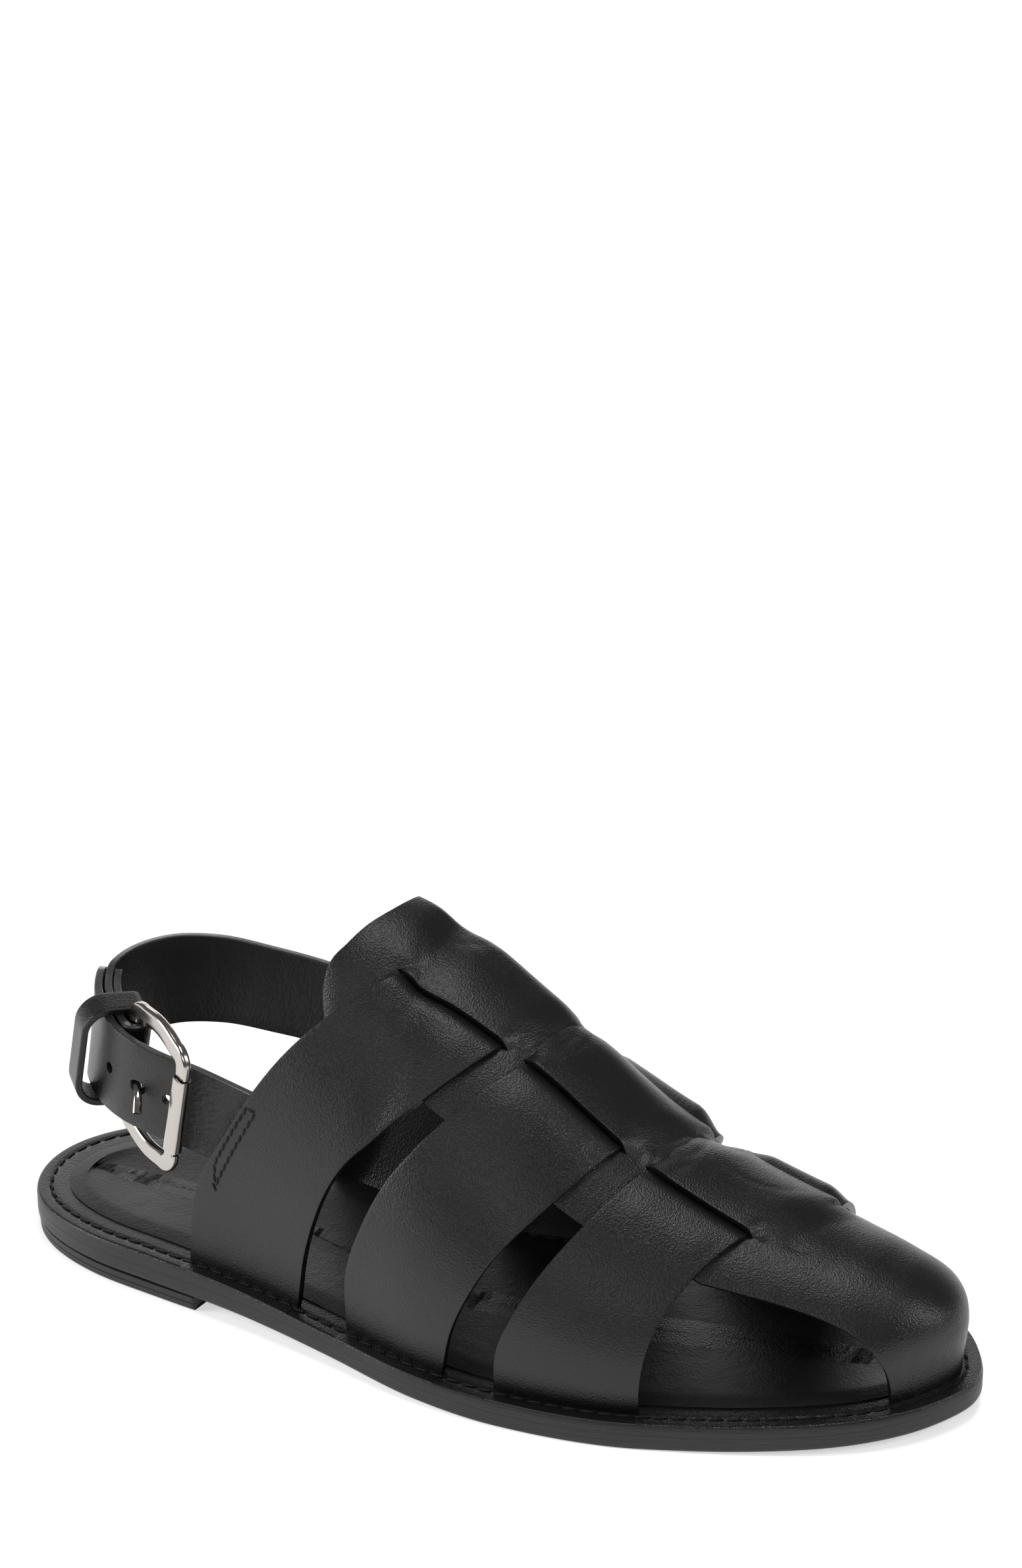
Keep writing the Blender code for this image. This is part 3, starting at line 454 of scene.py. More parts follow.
CREASES = (
    (163.0, -8.0, 75, 4.5, 1.0, 0.55), (159.5, -8.5, 100, 3.5, 0.9, -0.3), (166.5, -7.0, 60, 4.0, 0.9, 0.3),
    (168.0, 3.0, 86, 8.0, 0.8, 0.15), (171.0, 7.0, 92, 7.0, 0.7, 0.12), (164.5, 6.0, 80, 7.0, 0.8, 0.15),
    (201.5, -8.0, 78, 4.5, 1.0, 0.6), (197.5, -8.0, 105, 3.5, 0.9, -0.3), (205.5, -7.0, 62, 4.0, 0.9, 0.35),
    (207.0, 4.0, 84, 7.0, 0.8, 0.2), (203.5, 7.0, 92, 7.0, 0.7, 0.2), (240.0, -8.0, 70, 4.5, 1.0, 0.55),
    (236.0, -8.5, 100, 3.5, 0.9, -0.3), (243.5, -8.0, 55, 4.5, 1.0, 0.3), (128.0, -8.0, 110, 4.0, 0.9, 0.35),
    (133.0, 6.0, 30, 9.0, 1.2, 0.15), (140.0, 8.0, 150, 8.0, 1.1, 0.12), (225.0, 4.0, 20, 10.0, 1.3, 0.12),
)
feather_sides = edge_line(FEATHER)


def feather_y(side, x):
    return np.interp(x, feather_sides[side][:, 0], feather_sides[side][:, 1])


def last_rows(x):
    return [smooth(column(LAST, 0), column(LAST, i), x) for i in (1, 2, 3, 4)]


def last_point(x, angle):
    """Points of the last at x and an angle round it in degrees."""
    x, angle = np.broadcast_arrays(np.asarray(x, float), np.asarray(angle, float))
    ridge_y, ridge_z, fullness, bulge = last_rows(x)
    lateral = angle < 0
    fullness = np.where(lateral, LATERAL_FULLNESS, fullness)
    bulge = np.where(lateral, LATERAL_BULGE, bulge)
    across = np.abs(np.sin(np.radians(angle))) ** (2 / fullness)
    up = np.maximum(0.0, np.cos(np.radians(angle))) ** (2 / fullness)
    base_z = rim_z(x) - FLANGE
    reach = np.where(lateral, feather_y(0, x), feather_y(1, x)) - ridge_y
    y = ridge_y + reach * across + np.where(lateral, -1, 1) * bulge * across * np.sin(math.pi * up)
    return np.stack([x, y, base_z + (ridge_z - base_z) * up], -1)


def last_height(x, y):
    ridge_y, ridge_z, fullness, _ = last_rows(x)
    lateral = y < ridge_y
    fullness = np.where(lateral, LATERAL_FULLNESS, fullness)
    base_z = rim_z(x) - FLANGE
    edge = np.where(lateral, feather_y(0, x), feather_y(1, x))
    share = np.minimum(1.0, np.abs(y - ridge_y) / np.maximum(0.1, np.abs(edge - ridge_y)))
    return base_z + (ridge_z - base_z) * (1 - share ** fullness) ** (1 / fullness)


def line_x(line, angle):
    return smooth(*line, angle) if len(line) == 2 else smooth(ANGLES, line, angle)


def angle_at(x, y):
    angles = np.linspace(-88, 88, 353)
    return float(np.interp(y, last_point(x, angles)[:, 1], angles))


def slit_angle(line_at, y):
    """Angle at which a line across the upper, x as a function of the angle, reaches y."""
    angle = angle_at(line_at(0.0), y)
    for _ in range(3):
        angle = angle_at(float(line_at(angle)), y)
    return angle


def eased(value):
    value = np.clip(value, 0.0, 1.0)
    return value * value * (3 - 2 * value)


def lifted(base, lift):
    """Points moved out from a grid of points along the grid's own normals."""
    down, along = np.gradient(base, axis=0), np.gradient(base, axis=1)
    normal = np.cross(along, down)
    normal /= np.maximum(1e-9, np.linalg.norm(normal, axis=2))[:, :, None]
    middle = normal[len(normal) // 2, normal.shape[1] // 2]
    if middle[2] < 0:
        normal = -normal
    return base + normal * lift[:, :, None]


def leather_wall(piece, thickness, shares):
    """Gives an open sheet its thickness outward, a share of it at each vertex, and rounds and paints its edges."""
    group = piece.vertex_groups.new(name="thickness")
    shares = np.round(shares, 3)
    for share in np.unique(shares):
        group.add(np.flatnonzero(shares == share).tolist(), float(share), "REPLACE")
    only(piece)
    wall = piece.modifiers.new("wall", "SOLIDIFY")
    wall.thickness = thickness * MM
    wall.offset = 1.0
    wall.use_quality_normals = True
    wall.material_offset = 2
    wall.material_offset_rim = 1
    wall.vertex_group = "thickness"
    bpy.ops.object.modifier_apply(modifier="wall")
    edges = piece.modifiers.new("edges", "BEVEL")
    edges.width = CUT_EDGE_ROUND * MM
    edges.segments = 3
    edges.limit_method = "ANGLE"
    edges.angle_limit = math.radians(55)
    edges.material = 1
    bpy.ops.object.modifier_apply(modifier="edges")
    bpy.ops.object.shade_smooth_by_angle(angle=math.radians(50))
    for leather in (calf, painted_edge, flesh):
        piece.data.materials.append(leather)


CENTRE_COLUMNS = 44
WING_COLUMNS = 14
row_lines = []
before = TONGUE_END
for number, (rear, front) in enumerate(STRAP_LINES):
    for share in np.linspace(0, 1, 26 if number == 0 else 20)[:-1]:
        row_lines.append((before, rear, share))
    for share in np.linspace(0, 1, 38)[:-1]:
        row_lines.append((rear, front, share))
    before = front
row_lines.append((before, before, 0.0))


def between_lines(row):
    first, last, share = row
    return lambda angle: (1 - share) * line_x(first, angle) + share * line_x(last, angle)


vamp_base, vamp_angle = [], []
for row in row_lines:
    line_at = between_lines(row)
    slits = [slit_angle(line_at, y) for y in SLIT_Y]
    low, high = WING_ANGLES
    angles = np.concatenate([
        np.linspace(low, slits[0], WING_COLUMNS), np.linspace(slits[0], slits[1], CENTRE_COLUMNS),
        np.linspace(slits[1], high, WING_COLUMNS),
    ])
    x = line_at(angles)
    vamp_base.append(last_point(x, angles))
    vamp_angle.append(angles)
vamp_base = np.array(vamp_base)
vamp_angle = np.array(vamp_angle)
start = vamp_base[-1]
total = vamp_base.shape[1]
seam_left, seam_right = WING_COLUMNS - 1, WING_COLUMNS + CENTRE_COLUMNS - 1


def share_at(side, x):
    line = feather_sides[side][:, 0]
    return float(np.interp(x, line, np.linspace(0, 1, len(line))))


toe_ends = [share_at(side, TOE_CORNERS_X[side]) for side in (0, 1)]
place_in_row = np.concatenate([
    np.linspace(0, 0.2, WING_COLUMNS), np.linspace(0.2, 0.8, CENTRE_COLUMNS), np.linspace(0.8, 1, WING_COLUMNS),
])
round_toe = toe_ends[0] + (2 - toe_ends[1] - toe_ends[0]) * place_in_row


def toe_edge(inset):
    at = np.linspace(0, 1, 721)
    lateral, medial = edge_line(inset)
    points = np.zeros((total, 2))
    for k in (0, 1):
        points[:, k] = np.where(
            round_toe < 1, np.interp(round_toe, at, lateral[:, k]), np.interp(2 - round_toe, at, medial[:, k])
        )
    return points


FOOT_INSETS = (7.0, 6.3, 5.6, 5.0, 4.7, 4.4, 4.1, 3.6, 3.0, 2.2, 1.4, 0.8, 0.45)
TOE_ROUND = 4.8


def soften(rows, first, last, times):
    """Rounds a fold by averaging each row from first to last with its neighbours."""
    for _ in range(times):
        rows[first:last] = (rows[first - 1:last - 1] + 2 * rows[first:last] + rows[first + 1:last + 1]) / 4


toe_target = toe_edge(FEATHER)
toe_out = toe_target - toe_edge(FEATHER + 1)
toe_out *= (0.35 + 0.65 * eased((toe_target[:, 1] + 25) / 40))[:, None]
toe_rows = []
for share in np.sin(math.pi / 2 * np.linspace(0, 1, 54)[1:]):
    plan = start[:, :2] + (toe_target - start[:, :2]) * share
    roundness = TOE_ROUND * math.sin(math.pi * share ** 5)
    height = rim_z(plan[:, 0]) - FLANGE if share > 0.9999 else last_height(plan[:, 0], plan[:, 1])
    toe_rows.append(np.column_stack([plan + toe_out * roundness, height]))
for inset in FOOT_INSETS:
    plan = toe_edge(inset)
    toe_rows.append(np.column_stack([plan, rim_z(plan[:, 0]) - FLANGE - groove(inset)]))
vamp_base = np.concatenate([vamp_base, np.array(toe_rows)])
fold_row = len(row_lines) + 52
soften(vamp_base, fold_row - 5, fold_row + 5, 6)

over = np.zeros((len(row_lines), total))
reach_over = np.zeros((len(row_lines), total))
woven_x = vamp_base[:len(row_lines), :, 0]
for rear, front in STRAP_LINES:
    behind = woven_x - line_x(rear, vamp_angle)
    ahead = line_x(front, vamp_angle) - woven_x
    over = np.maximum(over, eased((behind + 1.5) / 3.0) * eased((ahead + 1.2) / 3.0))
    reach_over = np.maximum(reach_over, eased((behind + 10.0) / 17.0) * eased((ahead + 8.0) / 14.0))
ahead = np.linalg.norm(vamp_base[len(row_lines):, :, :2] - start[None, :, :2], axis=2)
over = np.concatenate([over, eased((1.2 - ahead) / 3.0)])
reach_over = np.concatenate([reach_over, eased((8.0 - ahead) / 14.0)])
in_centre = np.zeros(total, bool)
in_centre[seam_left + 1:seam_right + 1] = True
vamp_y = vamp_base[:, :, 1]
from_slit = np.minimum(np.abs(vamp_y - SLIT_Y[0]), np.abs(vamp_y - SLIT_Y[1]))
from_slit[len(row_lines):] = 20.0
near_lip = np.exp(-((from_slit / LIP_REACH) ** 2))
lift = np.where(
    in_centre[None, :],
    LEATHER * (over * near_lip + reach_over * (1 - near_lip)),
    -WING_DIP * over * np.exp(-((from_slit / WING_DIP_REACH) ** 2)),
)
from_end = woven_x - line_x(TONGUE_END, vamp_angle)
lift[:len(row_lines)] -= TONGUE_ROLL * np.clip(1 - from_end / ROLL_LENGTH, 0, 1) ** 2
for x, y, heading, half_length, half_width, depth in CREASES:
    away = vamp_base[:, :, :2] - (x, y)
    turned = math.radians(heading)
    along = away[:, :, 0] * math.cos(turned) + away[:, :, 1] * math.sin(turned)
    aside = away[:, :, 1] * math.cos(turned) - away[:, :, 0] * math.sin(turned) - 0.03 * along ** 2
    lift -= in_centre * depth * np.exp(-((along / half_length) ** 2) - (aside / half_width) ** 2)
lift[fold_row - 8:] = 0.0
vamp_points = lifted(vamp_base, lift)
for seam in (seam_left, seam_right):
    whole = over[:, seam] <= SLIT_OPENS_AT
    vamp_points[whole, seam:seam + 2] = vamp_points[whole, seam:seam + 2].mean(1, keepdims=True)
slit_faces = np.zeros((len(over) - 1, total - 1), bool)
for seam in (seam_left, seam_right):
    slit_faces[:, seam] = np.maximum(over[:-1, seam], over[1:, seam]) > SLIT_OPENS_AT
vamp = laid("vamp_tongue_and_toe", vamp_points, cut=slit_faces)


def outward(piece, point):
    """Turns an open sheet's faces so that the one nearest a point in millimetres faces up."""
    at = Vector(in_part(point))
    nearest = min(piece.data.polygons, key=lambda face: (face.center - at).length)
    if nearest.normal.z < 0:
        on_all_of(piece, bpy.ops.mesh.flip_normals)


def thinner_at_foot(piece, thickness):
    """Share of the full thickness at each vertex: less where the leather is turned out on the rim."""
    co = np.array([vertex.co for vertex in piece.data.vertices]) / MM + FOOT_MIDDLE
    above = co[:, 2] - (rim_z(co[:, 0]) - FLANGE)
    return (FLANGE + 0.1 + (thickness - FLANGE - 0.1) * eased(above / 5.0)) / thickness


painted_edge = material(
    "painted_cut_edge", (0.014, 0.0125, 0.0115), 0.34, specular_ior_level=0.8, coat_weight=0.8, coat_roughness=0.18,
)
flesh = material("flesh_side", (0.008, 0.0078, 0.0075), 0.75, specular_ior_level=0.3)
fibres = texture(flesh, "Noise", in_scale=900.0, in_detail=6.0, in_roughness=0.7)
varied(flesh, 0.6, 0.9, fibres.outputs["Fac"], "Roughness")
bumped(flesh, ((fibres.outputs["Fac"], 0.25),))
edge_noise = texture(painted_edge, "Noise", in_scale=700.0, in_detail=3.0)
varied(painted_edge, 0.28, 0.55, edge_noise.outputs["Fac"], "Roughness")
bumped(painted_edge, ((edge_noise.outputs["Fac"], 0.12),))

outward(vamp, (150, 10, 98))
leather_wall(vamp, WALL, thinner_at_foot(vamp, WALL))
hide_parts("upper")
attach(vamp, "root")

# The cross straps: three bands of calf cut to the last. Each comes up from the rim, lies over the vamp's wing, goes
# down through a slit, crosses under the middle and comes out on the medial side, its ends turned out on the rim.
SIDE_LIFT = ((0, 0.0), (8, 1.2), (18, 2.0), (27, 2.3), (90, 2.3))
STRAP_COLUMNS = 30
MEDIAL_PUFF = (2.8, 4.4, 2.0)
LATERAL_PUFF = 0.5
UNDER_VAMP = -0.35
STRAP_MIDDLE_Y = 2.0


def strap_foot(side, x_base):
    """Rows of the turned-out foot, outward from the fold, one point for each column of the strap."""
    at = np.linspace(0, 1, 721)
    where = np.interp(x_base, feather_sides[side][:, 0], at)
    rows = []
    for inset in FOOT_INSETS:
        line = edge_line(inset)[side]
        x, y = np.interp(where, at, line[:, 0]), np.interp(where, at, line[:, 1])
        rows.append(np.column_stack([x, y, rim_z(x) - FLANGE - groove(inset)]))
    return rows


for number, (rear, front) in enumerate(STRAP_LINES):
    share = np.linspace(0, 1, STRAP_COLUMNS)
    angles = np.linspace(-90, 90, 179)
    grid = np.array([
        last_point((1 - share) * line_x(rear, angle) + share * line_x(front, angle), angle) for angle in angles
    ])
    lift = np.interp(90 - np.abs(angles), column(SIDE_LIFT, 0), column(SIDE_LIFT, 1))[:, None]
    y = grid[:, :, 1]
    medial = y > STRAP_MIDDLE_Y
    outside = np.where(y < STRAP_MIDDLE_Y, SLIT_Y[0] - y, y - SLIT_Y[1])
    dive = eased((outside + 0.8) / np.where(medial, 6.0, 5.0))
    from_crest = (outside - np.where(medial, 7.5, 10.0)) / np.where(medial, 8.5, 6.0)
    puff = np.where(medial, MEDIAL_PUFF[number], LATERAL_PUFF) * np.exp(-(from_crest ** 2))
    across = np.minimum(share, 1 - share)[None, :]
    lift = lift * dive + (1 - dive) * UNDER_VAMP + puff * eased(across / 0.25)
    lift = np.where(outside < -1.0, UNDER_VAMP, lift)
    grid = lifted(grid, lift)
    lateral_foot, medial_foot = (np.array(strap_foot(side, grid[-side, :, 0])) for side in (0, 1))
    grid = np.concatenate([lateral_foot[::-1], grid, medial_foot])
    for fold in (len(FOOT_INSETS), len(grid) - len(FOOT_INSETS) - 1):
        soften(grid, fold - 4, fold + 5, 6)
    strap = laid(f"cross_strap_{number + 1}", grid)
    outward(strap, grid[len(grid) // 2, STRAP_COLUMNS // 2])
    leather_wall(strap, WALL, thinner_at_foot(strap, WALL))
    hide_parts("upper")
    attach(strap, "root")


# The stitching: waxed black thread. A line of long stitches runs all round the rim in its sunk channel, and a
# narrow box of shorter ones holds the end of the buckle strap inside the first cross strap.
thread = material("waxed_thread", (0.002, 0.002, 0.0022), 0.6, specular_ior_level=0.3)
ply = texture(thread, "Wave", in_scale=900.0, bands_direction="DIAGONAL")
varied(thread, 0.4, 0.62, ply.outputs["Fac"], "Roughness")
bumped(thread, ((ply.outputs["Fac"], 0.12),))


TO_PART = Matrix.Diagonal((MM, MM, MM, 1.0)) @ Matrix.Translation([-v for v in FOOT_MIDDLE])


def sewn(name, path, up_ways, pitch, length, width, slant):
    """A run of stitches along a path in millimetres: one is modelled and the rest are copies of it."""
    points = np.asarray(path, float)
    along = np.concatenate([[0], np.cumsum(np.linalg.norm(np.diff(points, axis=0), axis=1))])
    bpy.ops.object.select_all(action="DESELECT")
    bpy.ops.mesh.primitive_uv_sphere_add(segments=8, ring_count=6, radius=1.0)
    first = bpy.context.object
    first.data.transform(Matrix.Rotation(math.pi / 2, 4, "Y"))
    for vertex in first.data.vertices:
        vertex.co.x = math.copysign(abs(vertex.co.x) ** 0.6, vertex.co.x)
    first.data.transform(Matrix.Diagonal((length / 2, width / 2, width * 0.4, 1.0)))
    made = []
    for k in range(int(along[-1] // pitch)):
        middle = (k + 0.5) * along[-1] / (along[-1] // pitch)
        centre, ahead, behind, up_way = (
            np.array([np.interp(at, along, source[:, i]) for i in range(3)])
            for at, source in (
                (middle, points), (middle + 0.6, points), (middle - 0.6, points), (middle, np.asarray(up_ways)),
            )
        )
        forward = Vector(ahead - behind).normalized()
        up_now = Vector(up_way).normalized()
        side = up_now.cross(forward).normalized()
        forward = (forward * math.cos(slant) + side * math.sin(slant)).normalized()
        side = up_now.cross(forward).normalized()
        stitch = first.copy()
        stitch.data = first.data.copy()
        turned = Matrix((forward, side, forward.cross(side))).transposed().to_4x4()
        stitch.data.transform(TO_PART @ Matrix.Translation(centre) @ turned)
        bpy.context.scene.collection.objects.link(stitch)
        made.append(stitch)
    bpy.data.objects.remove(first)
    bpy.ops.object.select_all(action="DESELECT")
    for stitch in made:
        stitch.select_set(True)
    bpy.context.view_layer.objects.active = made[0]
    bpy.ops.object.join()
    row = bpy.context.object
    row.name = name
    bpy.ops.object.shade_smooth()
    row.data.materials.append(thread)
    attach(row, "root")
    return row


stitch_line = edge_loop(STITCH_INSET)
stitch_line = np.column_stack([stitch_line, rim_z(stitch_line[:, 0]) - 0.12])
rim_stitches = sewn("rim_stitches", stitch_line, np.tile([0, 0, 1.0], (len(stitch_line), 1)), 4.9, 4.1, 0.95, 0.12)


def on_first_strap(x, angle):
    """Outer face of the first cross strap's lateral side and its normal there."""
    near = last_point(np.array([x, x + 0.5, x]), np.array([angle, angle, angle + 0.5]))
    normal = np.cross(near[2] - near[0], near[1] - near[0])
    normal *= -1 if normal[1] > 0 else 1
    normal /= np.linalg.norm(normal)
    lift_here = np.interp(90 - abs(angle), column(SIDE_LIFT, 0), column(SIDE_LIFT, 1))
    return near[0] + normal * (lift_here + WALL), normal


BOX_CORNERS = ((90.5, -64.6), (79.6, -75.2), (79.3, -78.6), (93.3, -64.9), (90.5, -64.6))
box_points, box_normals = [], []
for (x0, a0), (x1, a1) in zip(BOX_CORNERS, BOX_CORNERS[1:]):
    for share in np.linspace(0, 1, 24)[:-1]:
        point, normal = on_first_strap(x0 + (x1 - x0) * share, a0 + (a1 - a0) * share)
        box_points.append(point)
        box_normals.append(normal)
box_stitches = sewn("box_stitches", box_points, box_normals, 2.8, 2.7, 0.95, 0.2)

# The sling: a strap of calf with a smooth lining, sewn inside the medial side of the first cross strap. It runs
# round the heel, wraps the buckle's back bar and comes back on its own inner side, its end cut square.
STRAP = 2.4
STRAP_WIDTH = 27.0
HEEL_STRAP_WIDTH = 28.4
SLING_PATH = (
    (124, 25.2, 60.5), (114, 26.0, 61.8), (104, 27.3, 63.3), (94, 29.2, 64.6), (80, 30.9, 66), (60, 30.5, 67.2),
    (44, 27.5, 68.6), (33, 20, 69.6), (27, 9, 69.8), (26.3, -3, 69.4), (30, -14, 68), (35.8, -21, 67),
    (42.6, -26.8, 66),
)
FOLD_BACK_END_Y = -5.7
LEAN_Y = (-3.0, -18.0)
FRAME_CENTRE = (56.5, -31.6, 64.0)
FRAME_HEADING, FRAME_TILT, FRAME_LEAN = -31.0, 11.0, -4.0
FRAME_LENGTH = 27.6
BAR_THICKNESS = 2.6
frame_place = (
    Matrix.Translation(FRAME_CENTRE) @ Matrix.Rotation(math.radians(FRAME_HEADING), 4, "Z")
    @ Matrix.Rotation(math.radians(FRAME_TILT), 4, "Y") @ Matrix.Rotation(math.radians(90 + FRAME_LEAN), 4, "X")
)
BAR_UP = frame_place.to_3x3() @ Vector((0, 1, 0))


def resample(path, count):
    points = np.array(path, float)
    along = np.concatenate([[0], np.cumsum(np.linalg.norm(np.diff(points, axis=0), axis=1))])
    at = np.linspace(0, along[-1], count)
    return np.stack([smooth(along, points[:, i], at) for i in range(3)], 1)


def level_normals(points):
    tangents = np.gradient(np.asarray(points, float), axis=0)
    normals = np.stack([tangents[:, 1], -tangents[:, 0], np.zeros(len(points))], 1)
    return normals / np.linalg.norm(normals, axis=1)[:, None]


def strap_up(point):
    share = float(np.interp(-point[1], (-LEAN_Y[0], -LEAN_Y[1]), (0, 1)))
    return Vector((0, 0, 1)).lerp(BAR_UP, share).normalized()


QUARTERS = ((1, -1, -90), (1, 1, 0), (-1, 1, 90), (-1, -1, 180))


def corner_arc(width, height, radius, quarter, steps):
    """Points of one round corner of a rectangle, the quarters being numbered in turn."""
    a, b, first = QUARTERS[quarter % 4]
    turned = np.radians(first + 90 * np.arange(steps + 1) / steps)
    return np.stack([
        a * (width / 2 - radius) + radius * np.cos(turned), b * (height / 2 - radius) + radius * np.sin(turned),
    ], 1)


def rounded(width, height, radius, steps=3, flats=1):
    """Loop of points round a rectangle with round corners, its first point repeated at the end."""
    points = []
    for quarter in range(4):
        arc, following = (corner_arc(width, height, radius, quarter + step, steps) for step in (0, 1))
        points += [*arc, *(arc[-1] + (following[0] - arc[-1]) * i / flats for i in range(1, flats))]
    return np.array([*points, points[0]])


def swept(name, points, normals, ups, widths, thickness, corner, smooth_angle=40.0, endless=False):
    """A band swept along a path, its section a rectangle with rounded corners, its ends closed."""
    rings = []
    for k, (p, n, u, width) in enumerate(zip(points, normals, ups, widths)):
        thick = thickness[k] if np.ndim(thickness) else thickness
        section = rounded(thick, width, min(corner, thick * 0.45, width * 0.45), 3, 6)
        rings.append(np.asarray(p) + section[:, :1] * np.asarray(n) + section[:, 1:] * np.asarray(u))
    rings = np.array(rings)
    if endless:
        rings = np.concatenate([rings, rings[:1]])
    else:
        for end in (0, -1):
            middle = rings[end].mean(0)
            step = rings[end].mean(0) - rings[1 if end == 0 else -2].mean(0)
            step = step / max(1e-9, np.linalg.norm(step))
            caps = [
                middle + (rings[end] - middle) * (1 - 0.02 * (1 - math.cos(t))) + step * corner * 0.6 * math.sin(t)
                for t in (0.8, 1.57)
            ]
            caps = np.array([*caps, np.repeat((middle + step * corner * 0.6)[None], len(rings[end]), 0)])
            rings = np.concatenate([rings, caps] if end == -1 else [caps[::-1], rings])
    return closed(name, rings, smooth_angle)


sling_run = resample(SLING_PATH, 140)
sling_normals = level_normals(sling_run)
back_bar = frame_place @ Vector((-FRAME_LENGTH / 2, 0, 0))
bend_reach = BAR_THICKNESS / 2 + 2 * GAP + STRAP / 2
end_normal = Vector(sling_normals[-1])
ahead_of_bar = Vector((end_normal.y, -end_normal.x, 0))
if ahead_of_bar.x < 0:
    ahead_of_bar = -ahead_of_bar
bend = []
for degrees in range(0, 181, 12):
    turned = math.radians(degrees)
    wider = bend_reach + GAP * (1 - math.cos(turned)) / 2
    across = end_normal * wider * math.cos(turned)
    bend.append(np.array(back_bar + across + ahead_of_bar * (bend_reach + GAP) * math.sin(turned)))
inner_back = [p - n * (STRAP + GAP) for p, n in zip(sling_run, sling_normals) if p[1] < FOLD_BACK_END_Y]
sling_points = np.array([*sling_run[:-6], *bend, *inner_back[-6::-1]])
sling_across = level_normals(sling_points)
heel_width = np.interp(sling_points[:, 0], (35, 75), (HEEL_STRAP_WIDTH, STRAP_WIDTH))
sling_widths = np.where(sling_points[:, 1] > FOLD_BACK_END_Y, heel_width, STRAP_WIDTH)
soften(sling_widths, 1, len(sling_widths) - 1, 4)
STRAP_CORNER = 0.45
sling_ups = [strap_up(p) for p in sling_points]
sling = swept("sling_strap_calf", sling_points, sling_across, sling_ups, sling_widths, STRAP, STRAP_CORNER)


def punched(piece, name, place, size, kind="cylinder"):
    """Cuts a hole through a piece with a cylinder or block at a place in millimetres."""
    bpy.ops.object.select_all(action="DESELECT")
    if kind == "cylinder":
        bpy.ops.mesh.primitive_cylinder_add(vertices=40, radius=1.0, depth=2.0)
    else:
        bpy.ops.mesh.primitive_cube_add(size=2.0)
    punch = bpy.context.object
    punch.data.transform(Matrix.Diagonal((*size, 1.0)))
    punch.data.transform(TO_PART @ place)
    only(piece)
    hole = piece.modifiers.new(name, "BOOLEAN")
    hole.object = punch
    hole.solver = "EXACT"
    bpy.ops.object.modifier_apply(modifier=name)
    bpy.data.objects.remove(punch)
    bpy.ops.object.shade_smooth_by_angle(angle=math.radians(40))


punched(sling, "prong_slot", frame_place @ Matrix.Translation((-FRAME_LENGTH / 2 + 2, 0, 0)), (8, 2.1, 6), "block")
lining = material("strap_lining", (0.0075, 0.0078, 0.0072), 0.5, specular_ior_level=0.4)
lining_grain = texture(lining, "Voronoi", (1, 1, 0.7), in_scale=1100.0)
lining_creases = texture(lining, "Noise", (1.6, 1.6, 0.5), in_scale=160.0, in_detail=5.0, in_roughness=0.7)
varied(lining, 0.42, 0.62, lining_creases.outputs["Fac"], "Roughness")
bumped(lining, ((lining_creases.outputs["Fac"], 0.35), (lining_grain.outputs["Distance"], 0.12)))


def edged(piece, line, normals):
    """Paints a strap's cut edges, and gives its inner face the lining."""
    for leather in (calf, painted_edge, lining):
        piece.data.materials.append(leather)
    line_now = in_part(line)
    for face in piece.data.polygons:
        k = int(np.argmin(((line_now - np.array(face.center)) ** 2).sum(1)))
        if abs(face.normal.dot(strap_up(line[k]))) > 0.72:
            face.material_index = 1
        elif face.normal.dot(Vector(normals[k])) < -0.3:
            face.material_index = 2


edged(sling, sling_run, sling_normals)
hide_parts("sling_strap")
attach(sling, "root")

# The buckle strap: a plain calf strap with three punched holes, sewn inside the lateral end of the first cross
# strap. It goes out through the frame, over the back bar and the sling, and ends in a rounded tip.
BUCKLE_STRAP_PATH = ((48, -32.3, 65.2), (57, -33.9, 63.8), (70, -33.6, 61.5), (82, -33.2, 58.5), (92, -32.4, 55.5))
BUCKLE_STRAP_TIP_Y = 3.0
PRONG_SWING = 26.0
PRONG_LOOP = 3.4
HOLE_SPACING = 11.0
tip_run = [p + n * (STRAP + 2 * GAP) for p, n in zip(sling_run, sling_normals) if p[1] < BUCKLE_STRAP_TIP_Y]
buckle_line = resample([*tip_run[:-6:3], *BUCKLE_STRAP_PATH], 130)
buckle_normals = level_normals(buckle_line)
buckle_along = np.concatenate([[0], np.cumsum(np.linalg.norm(np.diff(buckle_line, axis=0), axis=1))])
tip_share = np.clip(1 - buckle_along / (STRAP_WIDTH * 0.35), 0, 1)
buckle_widths = STRAP_WIDTH * np.sqrt(np.maximum(0.12, 1 - tip_share ** 2))
buckle_ups = [strap_up(p) for p in buckle_line]
buckle_strap = swept(
    "buckle_strap_calf", buckle_line, buckle_normals, buckle_ups, buckle_widths, STRAP, STRAP_CORNER,
)
prong_start = np.array(frame_place @ Vector((PRONG_LOOP - FRAME_LENGTH / 2, 0, 0)))
swing = math.radians(PRONG_SWING)
prong_way = np.array(frame_place.to_3x3() @ Vector((math.cos(swing), 0, math.sin(swing))))
off_prong = np.linalg.norm(np.cross(buckle_line - prong_start, prong_way), axis=1)
hole_at = buckle_along[int(np.argmin(off_prong))]
for number in (-1, 0, 1):
    at = hole_at + number * HOLE_SPACING
    centre = [float(np.interp(at, buckle_along, buckle_line[:, i])) for i in range(3)]
    way = Vector([float(np.interp(at, buckle_along, buckle_normals[:, i])) for i in range(3)])
    size = (1.7, 1.7, 5.0)
    if number == 0:
        way, size = Vector(prong_way), (2.1, 2.1, 7.0)
    turned = way.to_track_quat("Z", "Y").to_matrix().to_4x4()
    punched(buckle_strap, "punched_hole", Matrix.Translation(centre) @ turned, size)
edged(buckle_strap, buckle_line, buckle_normals)
